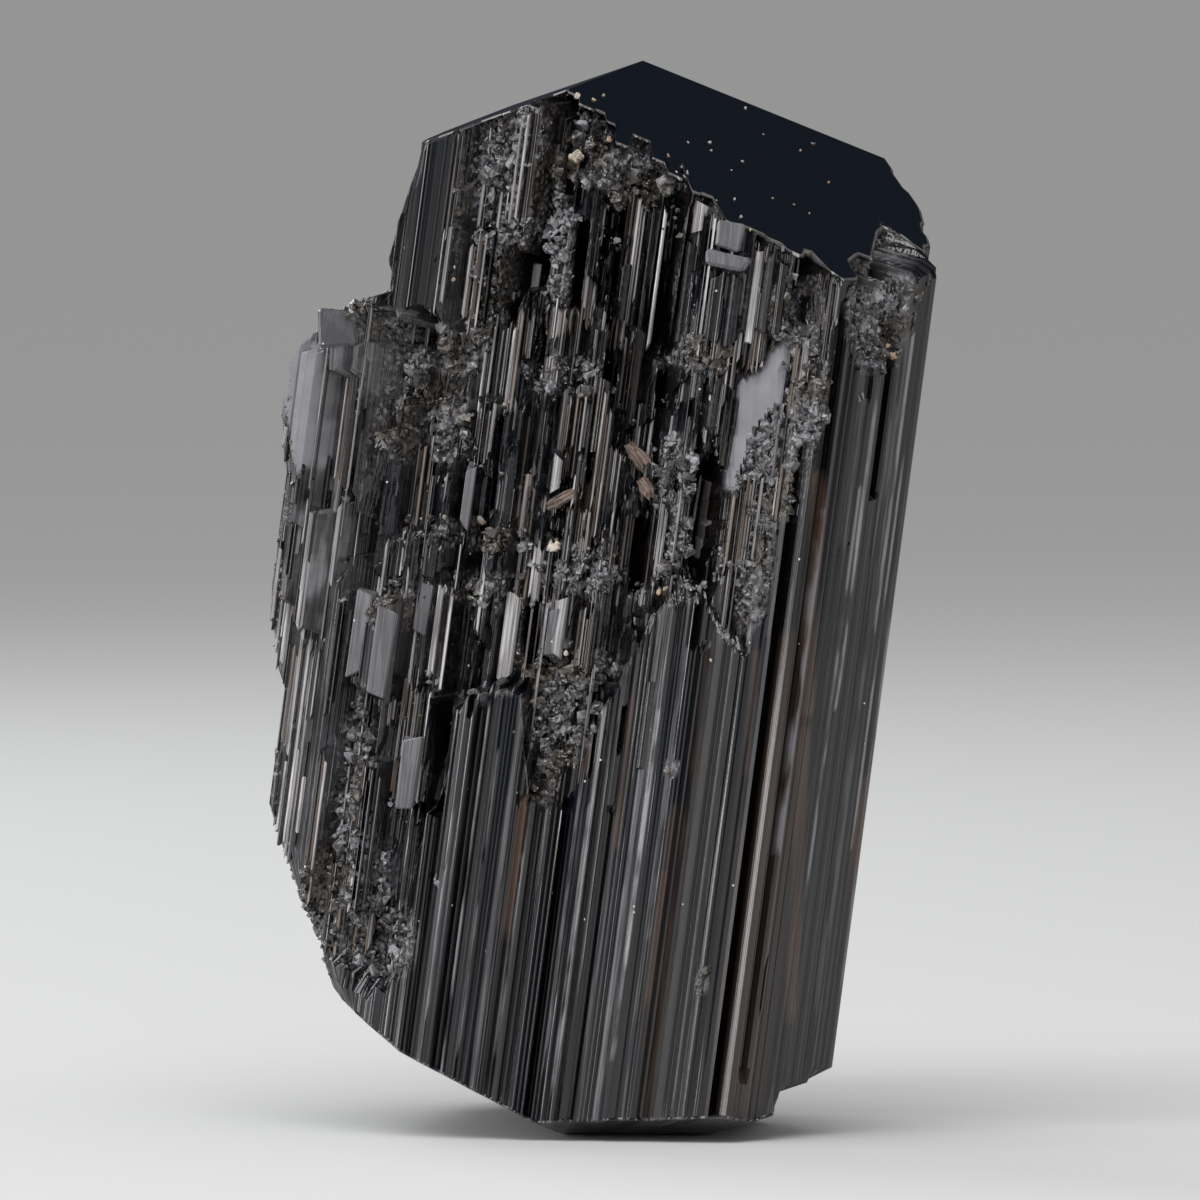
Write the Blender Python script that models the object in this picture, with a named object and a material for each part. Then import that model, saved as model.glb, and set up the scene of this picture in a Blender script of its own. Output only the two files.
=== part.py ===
# A stout crystal of black tourmaline. It is a striated prism of nearly three sides under a low
# three-faced point. The upper left of its front is etched back into stepped columns, its left
# flank is broken away, and it stands with a lean on the flat of its broken base. Flakes of mica
# and grains of feldspar are lodged in the etched columns.
#
# The crystal is modelled upright in its own axes, u to the right, v away from the viewer and w
# along its long axis, with the base at w = 0. An empty then leans it over.
import math
import random

import bmesh
import bpy
from mathutils import Euler, Matrix, Vector

MM = 0.001
SEED = 7

# Driving dimensions in millimetres, and angles in degrees.
LENGTH = 60.0
LEAN = 7.5
OUTSIDE = 40.0  # how far cutters reach past the crystal
WELD = 1e-6  # metres within which two corners are one
SOCKET_GAP = 0.35  # left round each lodged flake and grain

# Where each side of the prism faces, from +u towards +v, and how far it is from the long axis.
SIDES = (
    (-43.6, 20.3),
    (10.0, 15.5),
    (27.0, 12.9),
    (55.0, 14.5),
    (80.0, 15.8),
    (112.0, 14.8),
    (137.0, 14.0),
    (160.0, 15.8),
    (180.0, 17.6),
    (235.0, 14.0),
    (260.0, 14.2),
)
FLUTE_WIDTH = (0.8, 2.1)
FLUTE_DEPTH = (0.12, 0.42)
FLUTE_WALL = 0.12  # share of a flute's width that its sloping wall takes
PRISM_OVERRUN = 27.0  # how far the raw prism runs past both its ends
FRONT_FACES = -0.2  # a side faces the viewer when its direction along v is below this

# The point: three faces of the low rhombohedron, one of which looks straight to the left.
POINT_SLOPE = 27.35
POINT_TURN = 182.0
POINT_SPAN = 250.0
FRESH_CONE_TURN = 150.0  # where a face of a new three-sided cone looks

# The etched front. Its columns start at the lower edge and recede towards the top left.
ETCH_COLUMN = (0.6, 1.3)
ETCH_STEPS = 8
ETCH_FROM = -18.5  # u where the first column starts
ETCH_PAST_POINT = 6.0
ETCH_EDGE_SCATTER = 0.7
ETCH_STEP_SCATTER = 0.38  # as a share of a step
ETCH_SLANT = 0.3
ETCH_LIP = 0.12  # run of the steep wall between two steps
ETCH_CLEAR = -23.0  # v of the cutter where it leaves the crystal whole
ETCH_DEPTH_AT_POINT = (  # u, depth
    (-17.0, 3.4),
    (-10.0, 4.6),
    (-6.0, 5.2),
    (-3.3, 6.4),
    (-1.6, 4.0),
    (1.2, 4.4),
    (4.3, 3.0),
    (5.6, 1.2),
    (8.0, 0.8),
    (12.5, 0.6),
)
ETCH_DEPTH_BELOW = 0.22  # share of that depth that is left at the lower edge
ETCH_RECEDES_FROM = 14.0
ETCH_SCATTER = (0.55, 1.35)
ETCH_LOWER_EDGE = (  # u, w
    (-13.0, 43.0),
    (-12.2, 8.6),
    (-7.2, 7.8),
    (-6.4, 17.6),
    (-5.8, 24.2),
    (-2.2, 25.4),
    (-0.6, 19.2),
    (0.6, 21.6),
    (2.4, 24.8),
    (3.6, 27.4),
    (5.0, 31.4),
    (7.2, 32.2),
    (8.2, 29.6),
    (9.8, 28.8),
    (10.5, 38.0),
    (12.2, 46.5),
)

# The broken left flank: how far left the crystal reaches at each height.
FLANK_EDGE = (  # w, u
    (-4.0, -8.0),
    (3.6, -8.6),
    (5.2, -9.4),
    (7.2, -10.8),
    (9.4, -11.5),
    (11.5, -12.8),
    (13.6, -13.7),
    (15.1, -15.0),
    (19.7, -15.0),
    (22.5, -15.1),
    (24.1, -15.9),
    (26.8, -16.4),
    (30.7, -16.9),
    (33.6, -16.5),
    (35.5, -16.4),
    (36.4, -16.9),
    (37.7, -17.4),
    (40.9, -17.2),
    (41.8, -16.6),
    (43.2, -16.1),
    (44.0, -15.8),
    (44.5, -13.9),
    (44.8, -11.9),
    (46.5, -12.6),
    (48.2, -12.5),
    (50.5, -12.2),
    (53.6, -11.7),
    (64.0, -10.4),
)
FLANK_ROWS = 44
FLANK_COLUMNS = 13
FLANK_HALF_DEPTH = 15.0
FLANK_ROUGHNESS = 0.55
FLANK_GRAIN = 0.15
FLANK_RIPPLES = ((0.55, 0.4), (0.31, -0.6))  # radians for each mm along w and v
FLANK_ROUND_FROM = -4.0  # the v from which the break curves away
FLANK_ROUND = 0.018
FLANK_STEP = 3.2  # how far the break's shoulder steps down behind its front
FLANK_STEPS_ABOVE = 30.0

# Blocks and small crystals that stand in the etched front, all rooted deep in the crystal: name,
# u, w, v of the front, width, height, and turn about u, v and w.
BLOCK_ROOT = 4.5  # v of every block's back
BLOCK_BEVEL = 0.3  # of the block's width, on its two front edges
BLOCK_SLANT = 0.12  # how much its two ends slant
BLOCKS = (
    ("flank_blade", -16.1, 36.8, -7.2, 1.7, 9.6, (0, 0, -22)),
    ("flank_blade_foot", -16.0, 31.2, -7.0, 0.7, 7.0, (0, -1, -24)),
    ("flank_blade_inner", -15.0, 29.6, -7.7, 0.6, 6.4, (0, 0, -18)),
    ("flank_shoulder", -14.5, 42.4, -7.6, 3.0, 3.4, (0, -9, -12)),
    ("left_tablet", -10.5, 26.0, -10.6, 2.6, 5.4, (0, 0, -12)),
    ("left_tablet_upper", -9.3, 29.8, -9.4, 1.5, 5.2, (0, 1, -8)),
    ("low_stub", -7.3, 20.8, -12.6, 1.7, 6.0, (0, -1, -6)),
    ("low_stub_left", -9.9, 15.6, -10.4, 1.4, 8.5, (0, 1, -14)),
    ("tilted_crystal", -12.2, 35.3, -8.0, 1.3, 4.6, (0, 21, -10)),
    ("top_tablet", 6.0, 51.1, -15.2, 1.6, 1.9, (0, 0, -4)),
    ("top_slab", 6.1, 49.5, -15.4, 2.3, 0.9, (0, 3, -4)),
    ("middle_blade", -0.4, 37.6, -12.8, 1.2, 15.0, (0, 0, -4)),
    ("right_blade", 8.3, 41.4, -14.6, 0.9, 15.0, (0, 0.5, -4)),
    ("centre_stub", 1.5, 29.4, -14.0, 1.4, 8.4, (0, 0, 4)),
    ("upper_blade", -3.4, 50.5, -9.6, 1.1, 12.0, (0, 0, -4)),
    ("upper_left_wall", -11.2, 50.6, -8.9, 3.2, 13.6, (0, 0, -34)),
)

# Hollows eaten deeper than the columns: name, middle (u, v, w), size along each axis, and turn
# about u, v and w.
HOLLOW_CORNERS = 0.62  # 1 makes a hollow an ellipsoid, and less fills out its corners
HOLLOW_RAGGED = 0.14  # how much its wall is knocked about, as a share of its size
HOLLOWS = (
    ("middle_pocket", (6.9, -13.6, 35.2), (1.7, 5.4, 7.4), (0, 0, 0)),
    ("rim_pocket", (10.5, -15.8, 48.2), (1.8, 4.2, 4.8), (0, 5, 0)),
    ("shoulder_pocket", (-10.4, -8.2, 43.4), (2.8, 6.4, 2.8), (4, -4, 0)),
    ("stub_slot", (-6.2, -12.4, 20.8), (0.95, 5.0, 6.8), (0, 0, 0)),
    ("left_rough_hollow", (-9.4, -10.6, 9.6), (4.2, 4.2, 3.2), (20, -25, 0)),
    ("corner_notch", (15.1, -10.8, 50.9), (2.5, 6.0, 4.4), (0, 0, 0)),
    ("corner_notch_low", (15.4, -13.3, 47.6), (1.5, 2.2, 5.6), (0, 0, 0)),
    ("corner_notch_left", (13.7, -13.6, 50.2), (1.9, 3.0, 2.0), (0, 30, 0)),
)

# Flat chips: name, middle of the chip's floor, where the floor faces, and its width and length.
CHIP_CLEARANCE = 6.0
CHIPS = (
    ("pale_facet", (8.7, -14.9, 41.6), (-0.42, -0.88, 0.12), (3.4, 8.4)),
    ("corner_scar", (14.3, -14.0, 45.6), (0.62, -0.78, 0.0), (0.8, 5.0)),
    ("wedge_scar", (0.0, -14.0, 22.6), (-0.16, -0.98, -0.1), (3.2, 7.6)),
    ("low_pit", (13.4, -15.2, 10.4), (0.1, -0.99, 0.0), (0.7, 2.2)),
)

# Broken facets of the base: name, a point on the facet, and its tilt about u and about v.
BASE_FACETS = (
    ("left_low", (2.6, 0.0, 0.35), (-2, 20)),
    ("left_high", (-7.4, 0.0, 4.5), (-1, 32)),
    ("right_low", (11.2, 0.0, 0.9), (-3, -25)),
    ("front_bevel", (6.0, -12.0, 1.2), (-13, -7)),
    ("back_bevel", (0.0, 10.0, 1.6), (15, 4)),
)
RIGHT_STEP = (14.25, 4.1, -29.0)  # u where the right side ends higher, its w there, and its tilt
FACET_BLOCK_DEPTH = 14.0

# Pieces of other minerals: name, mineral, u, w, size along their length, width and thickness, the
# turn of their length in the plane of the front. Their middle lies on the surface.
LODGED = (
    ("mica_flake_upper", "mica", 2.5, 38.3, (1.9, 0.95, 0.7), 50.0),
    ("mica_flake_lower", "mica", 3.2, 36.6, (1.3, 0.75, 0.6), 52.0),
    ("mica_splinter", "mica", -1.2, 35.5, (2.2, 0.7, 0.6), -38.0),
    ("feldspar_grain_middle", "feldspar", -1.4, 32.7, (0.95, 0.8, 0.7), 20.0),
    ("feldspar_grain_left", "feldspar", -5.7, 33.6, (0.9, 0.75, 0.7), 10.0),
    ("feldspar_grain_top", "feldspar", -3.0, 54.2, (0.7, 1.1, 0.7), 8.0),
)
CORNER_KNOCK = 0.28  # most that a corner of a lodged piece is knocked in

MATERIALS = {  # colour, roughness, metallic
    "tourmaline": ((0.013, 0.013, 0.016, 1.0), 0.22, 0.0),
    "mica": ((0.30, 0.19, 0.13, 1.0), 0.45, 0.0),
    "feldspar": ((0.66, 0.56, 0.44, 1.0), 0.6, 0.0),
}


def between(table, at):
    """The value of a table of (place, value) pairs at a place, on straight lines between pairs."""
    for (left, low), (right, high) in zip(table, table[1:]):
        if at <= right:
            share = max(0.0, (at - left) / (right - left))
            return low + (high - low) * share
    return table[-1][1]


def clear_scene():
    for obj in list(bpy.data.objects):
        bpy.data.objects.remove(obj)


def new_collection(name):
    collection = bpy.data.collections.new(name)
    bpy.context.scene.collection.children.link(collection)
    return collection


def new_object(name, mesh, collection, parent):
    obj = bpy.data.objects.new(name, mesh)
    collection.objects.link(obj)
    obj.parent = parent
    return obj


def hide_cutter(obj):
    obj.hide_render = True
    obj.display_type = "WIRE"
    return obj


def make_material(name):
    colour, roughness, metallic = MATERIALS[name]
    material = bpy.data.materials.new(name)
    material.use_nodes = True
    shader = material.node_tree.nodes["Principled BSDF"]
    shader.inputs["Base Color"].default_value = colour
    shader.inputs["Roughness"].default_value = roughness
    shader.inputs["Metallic"].default_value = metallic
    material.diffuse_color = colour
    return material


def facing(angle):
    return Vector((math.cos(math.radians(angle)), math.sin(math.radians(angle))))


def prism_corners():
    """The corners between each side and the next, counter-clockwise."""
    corners = []
    for (angle_a, far_a), (angle_b, far_b) in zip(SIDES, SIDES[1:] + SIDES[:1]):
        a, b = facing(angle_a), facing(angle_b)
        spread = a.cross(b)
        corners.append(
            Vector((far_a * b.y - far_b * a.y, far_b * a.x - far_a * b.x)) / spread
        )
    return corners


def front_of_prism(u):
    """The v of the prism's front at a given u."""
    front = [(far - u * facing(a).x) / facing(a).y for a, far in SIDES if facing(a).y < FRONT_FACES]
    return max(front)


def striated_outline(rng):
    """The prism's cross-section, with its long flutes."""
    corners = prism_corners()
    outline = []
    for i, (angle, _) in enumerate(SIDES):
        start, end = corners[i - 1], corners[i]
        along = (end - start).normalized()
        length = (end - start).length
        count = max(1, round(length / (sum(FLUTE_WIDTH) / 2)))
        widths = [rng.uniform(*FLUTE_WIDTH) for _ in range(count)]
        scale = length / sum(widths)
        place = 0.0
        for k, width in enumerate(w * scale for w in widths):
            edge_flute = k in (0, count - 1)
            depth = 0.0 if edge_flute else rng.uniform(*FLUTE_DEPTH) * (k % 2)
            wall = width * FLUTE_WALL
            for reach in (place + wall, place + width - wall):
                outline.append(start + along * reach - facing(angle) * depth)
            place += width
    return outline


def make_prism(collection, parent, rng):
    """The striated prism as a flat outline pushed through its whole length, then made a mesh."""
    outline = striated_outline(rng)
    curve = bpy.data.curves.new("prism_outline", "CURVE")
    curve.dimensions = "2D"
    curve.fill_mode = "BOTH"
    curve.extrude = (LENGTH / 2 + PRISM_OVERRUN) * MM
    spline = curve.splines.new("POLY")
    spline.points.add(len(outline) - 1)
    for point, place in zip(spline.points, outline):
        point.co = (place.x * MM, place.y * MM, 0.0, 1.0)
    spline.use_cyclic_u = True
    guide = new_object("prism_outline", curve, collection, None)
    graph = bpy.context.evaluated_depsgraph_get()
    mesh = bpy.data.meshes.new_from_object(guide.evaluated_get(graph))
    bpy.data.objects.remove(guide)
    mesh.transform(Matrix.Translation((0, 0, (LENGTH / 2) * MM)))
    mesh.name = "tourmaline_crystal"
    edit = bmesh.new()
    edit.from_mesh(mesh)
    bmesh.ops.remove_doubles(edit, verts=edit.verts, dist=WELD)
    bmesh.ops.recalc_face_normals(edit, faces=edit.faces)
    edit.to_mesh(mesh)
    edit.free()
    return new_object("tourmaline_crystal", mesh, collection, parent)


def make_point_cutter(collection, parent):
    """A three-sided pyramid whose apex is the crystal's point."""
    height = POINT_SPAN / 2 * math.tan(math.radians(POINT_SLOPE))
    edit = bmesh.new()
    bmesh.ops.create_cone(
        edit,
        cap_ends=True,
        segments=3,
        radius1=POINT_SPAN * MM,
        radius2=0.0,
        depth=height * MM,
    )
    turn = Matrix.Rotation(math.radians(POINT_TURN - FRESH_CONE_TURN), 4, "Z")
    bmesh.ops.transform(edit, matrix=turn, verts=edit.verts)
    lift = Vector((0, 0, (LENGTH - height / 2) * MM))
    bmesh.ops.translate(edit, vec=lift, verts=edit.verts)
    bmesh.ops.remove_doubles(edit, verts=edit.verts, dist=WELD)
    mesh = bpy.data.meshes.new("point_cutter")
    edit.to_mesh(mesh)
    edit.free()
    return hide_cutter(new_object("point_cutter", mesh, collection, parent))


def make_relief_cutter(name, lines, push, collection, parent):
    """A solid with one face that follows the lines of points, pushed out past the crystal."""
    edit = bmesh.new()
    grid = [[edit.verts.new(Vector(p) * MM) for p in line] for line in lines]
    for near, far in zip(grid, grid[1:]):
        for k in range(len(near) - 1):
            edit.faces.new((near[k], near[k + 1], far[k + 1], far[k]))
    pushed = bmesh.ops.extrude_face_region(edit, geom=list(edit.faces))
    moved = [g for g in pushed["geom"] if isinstance(g, bmesh.types.BMVert)]
    bmesh.ops.translate(edit, verts=moved, vec=Vector(push) * MM)
    bmesh.ops.recalc_face_normals(edit, faces=edit.faces)
    mesh = bpy.data.meshes.new(name)
    edit.to_mesh(mesh)
    edit.free()
    return hide_cutter(new_object(name, mesh, collection, parent))


def etch_depth(u, w):
    """How deep the etched front lies below the whole face, before its scatter."""
    up = max(0.0, (w - ETCH_RECEDES_FROM) / (LENGTH - ETCH_RECEDES_FROM))
    share = ETCH_DEPTH_BELOW + (1 - ETCH_DEPTH_BELOW) * up
    return between(ETCH_DEPTH_AT_POINT, u) * share


def etched_column_lines(u_left, u_right, rng):
    """The two edges of one etched column, each a stair of floors between short steep walls."""
    middle = (u_left + u_right) / 2
    low = between(ETCH_LOWER_EDGE, middle) + rng.uniform(-ETCH_EDGE_SCATTER, ETCH_EDGE_SCATTER)
    high = LENGTH + ETCH_PAST_POINT
    step = (high - low) / ETCH_STEPS
    breaks = [low]
    for k in range(1, ETCH_STEPS):
        breaks.append(low + step * (k + rng.uniform(-ETCH_STEP_SCATTER, ETCH_STEP_SCATTER)))
    breaks.append(high)
    floors = []
    for a, b in zip(breaks, breaks[1:]):
        depth = etch_depth(middle, (a + b) / 2) * rng.uniform(*ETCH_SCATTER)
        floors.append(front_of_prism(middle) + depth)
    slant = rng.uniform(-ETCH_SLANT, ETCH_SLANT)
    lines = []
    for u, tilt in ((u_left + ETCH_LIP / 2, -slant), (u_right - ETCH_LIP / 2, slant)):
        line = [(u, ETCH_CLEAR, -OUTSIDE), (u, ETCH_CLEAR, low + tilt - ETCH_LIP)]
        for a, b, floor in zip(breaks, breaks[1:], floors):
            line.append((u, floor, a + tilt + ETCH_LIP / 2))
            line.append((u, floor, b + tilt - ETCH_LIP / 2))
        lines.append(line)
    return lines


def make_etch_cutter(collection, parent, rng):
    u, end = ETCH_FROM, ETCH_LOWER_EDGE[-1][0]
    lines = []
    while u < end:
        width = min(rng.uniform(*ETCH_COLUMN), end - u)
        if end - u - width < ETCH_COLUMN[0] / 2:
            width = end - u
        lines += etched_column_lines(u, u + width, rng)
        u += width
    # A last line clear of the crystal closes each side.
    last = [(end + ETCH_LIP, ETCH_CLEAR, w) for _, _, w in lines[-1]]
    lines.append(last)
    return make_relief_cutter("etch_cutter", lines, (0, -OUTSIDE, 0), collection, parent)


def make_flank_cutter(collection, parent, rng):
    """The rough break down the left side."""
    low, high = FLANK_EDGE[0][0], FLANK_EDGE[-1][0]
    steps = [rng.uniform(0.0, FLANK_STEP) for _ in range(FLANK_COLUMNS + 1)]
    lines = []
    for row in range(FLANK_ROWS + 1):
        w = low + (high - low) * row / FLANK_ROWS
        line = []
        for column in range(FLANK_COLUMNS + 1):
            v = FLANK_HALF_DEPTH * (2 * column / FLANK_COLUMNS - 1)
            first, second = (along * w + back * v for along, back in FLANK_RIPPLES)
            ripple = math.sin(first) * math.cos(second)
            bite = FLANK_ROUGHNESS * ripple / 2 + rng.uniform(-FLANK_GRAIN, FLANK_GRAIN)
            bite += FLANK_ROUND * (v - FLANK_ROUND_FROM) ** 2
            stepped = v > FLANK_ROUND_FROM and w > FLANK_STEPS_ABOVE
            step = steps[column] if stepped else 0.0
            line.append((between(FLANK_EDGE, w + step) + bite, v, w))
        lines.append(line)
    return make_relief_cutter("flank_cutter", lines, (-OUTSIDE, 0, 0), collection, parent)


def make_box(name, middle, size, turn, collection, parent):
    edit = bmesh.new()
    bmesh.ops.create_cube(edit, size=1.0)
    place = Matrix.Translation(Vector(middle) * MM)
    turned = Euler([math.radians(t) for t in turn]).to_matrix().to_4x4()
    scaled = Matrix.Diagonal(Vector(size).to_4d() * MM)
    scaled[3][3] = 1.0
    bmesh.ops.transform(edit, matrix=place @ turned @ scaled, verts=edit.verts)
    mesh = bpy.data.meshes.new(name)
    edit.to_mesh(mesh)
    edit.free()
    return new_object(name, mesh, collection, parent)


def make_block(name, u, w, front, width, height, turn, collection, parent):
    """A block whose two long front edges are bevelled and whose ends slant."""
    edit = bmesh.new()
    bmesh.ops.create_cube(edit, size=1.0)
    depth = BLOCK_ROOT - front
    scale = (width, depth, height)
    for vert in edit.verts:
        vert.co = Vector(a * b for a, b in zip(vert.co + Vector((0, 0.5, 0)), scale))
    long_edges = [e for e in edit.edges if all(v.co.y < depth / 2 for v in e.verts)]
    long_edges = [e for e in long_edges if e.verts[0].co.x == e.verts[1].co.x]
    bmesh.ops.bevel(edit, geom=long_edges, offset=BLOCK_BEVEL * width, segments=1, affect="EDGES")
    for vert in edit.verts:
        vert.co.z += BLOCK_SLANT * vert.co.x * math.copysign(1.0, vert.co.z)
    turned = Euler([math.radians(t) for t in turn]).to_matrix().to_4x4()
    front_middle = Vector((u, front, w))
    place = Matrix.Translation(front_middle * MM) @ turned @ Matrix.Scale(MM, 4)
    bmesh.ops.transform(edit, matrix=place, verts=edit.verts)
    mesh = bpy.data.meshes.new(name)
    edit.to_mesh(mesh)
    edit.free()
    return hide_cutter(new_object(name, mesh, collection, parent))


def make_hollow(name, middle, size, turn, rng, collection, parent):
    """A ragged hollow between a box and an ellipsoid in form."""
    edit = bmesh.new()
    bmesh.ops.create_icosphere(edit, subdivisions=2, radius=1.0)
    for vert in edit.verts:
        knocked = 1.0 + rng.uniform(-HOLLOW_RAGGED, HOLLOW_RAGGED)
        filled = [math.copysign(abs(c) ** HOLLOW_CORNERS, c) for c in vert.co]
        vert.co = Vector(c * length / 2 * knocked for c, length in zip(filled, size))
    turned = Euler([math.radians(t) for t in turn]).to_matrix().to_4x4()
    place = Matrix.Translation(Vector(middle) * MM) @ turned @ Matrix.Scale(MM, 4)
    bmesh.ops.transform(edit, matrix=place, verts=edit.verts)
    mesh = bpy.data.meshes.new(name)
    edit.to_mesh(mesh)
    edit.free()
    return hide_cutter(new_object(name, mesh, collection, parent))


def make_chip(name, floor_middle, faces, size, collection, parent):
    """A box that stands on the chip's floor and clears everything in front of it."""
    edit = bmesh.new()
    bmesh.ops.create_cube(edit, size=1.0)
    for vert in edit.verts:
        vert.co = Vector((vert.co.x * size[0], vert.co.y * size[1], vert.co.z + 0.5))
        vert.co.z *= CHIP_CLEARANCE
    turned = Vector(faces).to_track_quat("Z", "Y").to_matrix().to_4x4()
    place = Matrix.Translation(Vector(floor_middle) * MM) @ turned @ Matrix.Scale(MM, 4)
    bmesh.ops.transform(edit, matrix=place, verts=edit.verts)
    mesh = bpy.data.meshes.new(name)
    edit.to_mesh(mesh)
    edit.free()
    return hide_cutter(new_object(name, mesh, collection, parent))


def make_base_cutters(collection, parent):
    """Blocks that break the base into facets, and the one that takes it off level."""
    for name, point, (about_u, about_v) in BASE_FACETS:
        turned = Euler((math.radians(about_u), math.radians(about_v), 0)).to_matrix()
        middle = Vector(point) - turned @ Vector((0, 0, FACET_BLOCK_DEPTH / 2))
        size = (2 * OUTSIDE, 2 * OUTSIDE, FACET_BLOCK_DEPTH)
        turn = (about_u, about_v, 0)
        hide_cutter(make_box(name, middle, size, turn, collection, parent))
    u, w, tilt = RIGHT_STEP
    turned = Euler((0, math.radians(tilt), 0)).to_matrix()
    middle = Vector((u, 0, w)) + turned @ Vector((OUTSIDE / 2, 0, -FACET_BLOCK_DEPTH / 2))
    size = (OUTSIDE, 2 * OUTSIDE, FACET_BLOCK_DEPTH)
    hide_cutter(make_box("right_step", middle, size, (0, tilt, 0), collection, parent))
    size = (4 * OUTSIDE, 4 * OUTSIDE, OUTSIDE)
    level = make_box("level", (0, 0, -OUTSIDE / 2), size, (0, 0, 0), collection, None)
    hide_cutter(level)


def add_boolean(obj, name, operation, operand):
    modifier = obj.modifiers.new(name, "BOOLEAN")
    modifier.operation = operation
    modifier.solver = "EXACT"
    if isinstance(operand, bpy.types.Collection):
        modifier.operand_type = "COLLECTION"
        modifier.collection = operand
    else:
        modifier.object = operand


def surface_at(crystal, u, w):
    """The v where a line from the front first meets the crystal."""
    bpy.context.view_layer.update()
    graph = bpy.context.evaluated_depsgraph_get()
    start = Vector((u, -OUTSIDE, w)) * MM
    hit, place, _, _ = crystal.evaluated_get(graph).ray_cast(start, Vector((0, 1, 0)))
    return place.y / MM if hit else front_of_prism(u)


def chipped_block(size, rng):
    """A small block with its corners knocked about, as a mesh in the crystal's axes."""
    edit = bmesh.new()
    bmesh.ops.create_cube(edit, size=1.0)
    for vert in edit.verts:
        for axis in range(3):
            knocked = 1.0 - rng.uniform(0.0, CORNER_KNOCK)
            vert.co[axis] *= size[axis] * knocked * MM
    return edit


def place_lodged(crystal, spec, collection, sockets, parent, rng):
    """One flake or grain in its socket on the etched front."""
    name, mineral, u, w, size, turn = spec
    v = surface_at(crystal, u, w)
    place = Matrix.Translation(Vector((u, v, w)) * MM)
    turned = Euler((math.radians(90), 0, 0)).to_matrix().to_4x4()
    in_face = Matrix.Rotation(math.radians(turn), 4, "Y")
    edit = chipped_block(size, rng)
    bmesh.ops.transform(edit, matrix=place @ in_face @ turned, verts=edit.verts)
    mesh = bpy.data.meshes.new(name)
    edit.to_mesh(mesh)
    edit.free()
    mesh.materials.append(bpy.data.materials[mineral])
    new_object(name, mesh, collection, parent)
    room = [length + 2 * SOCKET_GAP for length in size]
    edit = bmesh.new()
    bmesh.ops.create_cube(edit, size=1.0)
    scaled = Matrix.Diagonal(Vector(room).to_4d() * MM)
    scaled[3][3] = 1.0
    matrix = place @ in_face @ turned @ scaled
    bmesh.ops.transform(edit, matrix=matrix, verts=edit.verts)
    mesh = bpy.data.meshes.new(name + "_socket")
    edit.to_mesh(mesh)
    edit.free()
    hide_cutter(new_object(mesh.name, mesh, sockets, parent))


def seat_on_floor(crystal, lean):
    """Moves everything so that the origin is below the middle of the crystal's box."""
    bpy.context.view_layer.update()
    graph = bpy.context.evaluated_depsgraph_get()
    solid = crystal.evaluated_get(graph)
    points = [solid.matrix_world @ v.co for v in solid.data.vertices]
    for axis in range(2):
        reach = [p[axis] for p in points]
        lean.location[axis] -= (min(reach) + max(reach)) / 2


def main():
    clear_scene()
    rng = random.Random(SEED)
    parts = new_collection("tourmaline_crystal")
    cutters = new_collection("cutters")
    blocks = new_collection("blocks")
    hollows = new_collection("hollows")
    base = new_collection("base")
    sockets = new_collection("sockets")
    for name in MATERIALS:
        make_material(name)
    lean = bpy.data.objects.new("lean", None)
    parts.objects.link(lean)
    lean.rotation_euler = (0, math.radians(LEAN), 0)
    bpy.context.view_layer.update()

    crystal = make_prism(parts, lean, rng)
    crystal.data.materials.append(bpy.data.materials["tourmaline"])
    point = make_point_cutter(cutters, lean)
    flank = make_flank_cutter(cutters, lean, rng)
    etch = make_etch_cutter(cutters, lean, rng)
    for spec in BLOCKS:
        make_block(*spec, blocks, lean)
    for spec in HOLLOWS:
        make_hollow(*spec, rng, hollows, lean)
    for spec in CHIPS:
        make_chip(*spec, hollows, lean)
    make_base_cutters(base, lean)

    add_boolean(crystal, "etch", "DIFFERENCE", etch)
    add_boolean(crystal, "blocks", "UNION", blocks)
    add_boolean(crystal, "flank", "DIFFERENCE", flank)
    add_boolean(crystal, "hollows", "DIFFERENCE", hollows)
    add_boolean(crystal, "point", "INTERSECT", point)
    add_boolean(crystal, "base", "DIFFERENCE", base)
    for spec in LODGED:
        place_lodged(crystal, spec, parts, sockets, lean, rng)
    add_boolean(crystal, "sockets", "DIFFERENCE", sockets)
    seat_on_floor(crystal, lean)


main()
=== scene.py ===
import math

import bmesh
import bpy
import numpy as np
from mathutils import Matrix, Vector
from mathutils.bvhtree import BVHTree


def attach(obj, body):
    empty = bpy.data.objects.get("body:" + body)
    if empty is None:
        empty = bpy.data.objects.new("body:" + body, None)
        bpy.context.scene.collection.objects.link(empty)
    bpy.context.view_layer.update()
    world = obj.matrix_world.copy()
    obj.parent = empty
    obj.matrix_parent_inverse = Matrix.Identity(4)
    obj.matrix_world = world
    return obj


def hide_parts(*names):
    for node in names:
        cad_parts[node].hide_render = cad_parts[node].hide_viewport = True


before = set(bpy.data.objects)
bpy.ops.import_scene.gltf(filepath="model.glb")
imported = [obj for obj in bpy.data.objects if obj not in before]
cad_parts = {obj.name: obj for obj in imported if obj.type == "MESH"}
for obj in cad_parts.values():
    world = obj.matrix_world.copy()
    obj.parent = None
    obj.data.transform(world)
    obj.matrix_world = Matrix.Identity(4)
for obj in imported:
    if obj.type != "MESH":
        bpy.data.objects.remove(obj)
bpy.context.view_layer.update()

mm = 0.001

# The crystal has axes of its own, in mm: u to the right, v away from the viewer, w along its length.
crystal = dict(
    length=60.0,
    lean=7.5,  # degrees, from upright towards the right
    tipSlope=27.35,  # degrees, of the three faces of the point
    tipTurns=(-58.0, 62.0, 182.0),  # where those faces look
    reach=42.0,  # a distance that is outside it all round
)

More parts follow.
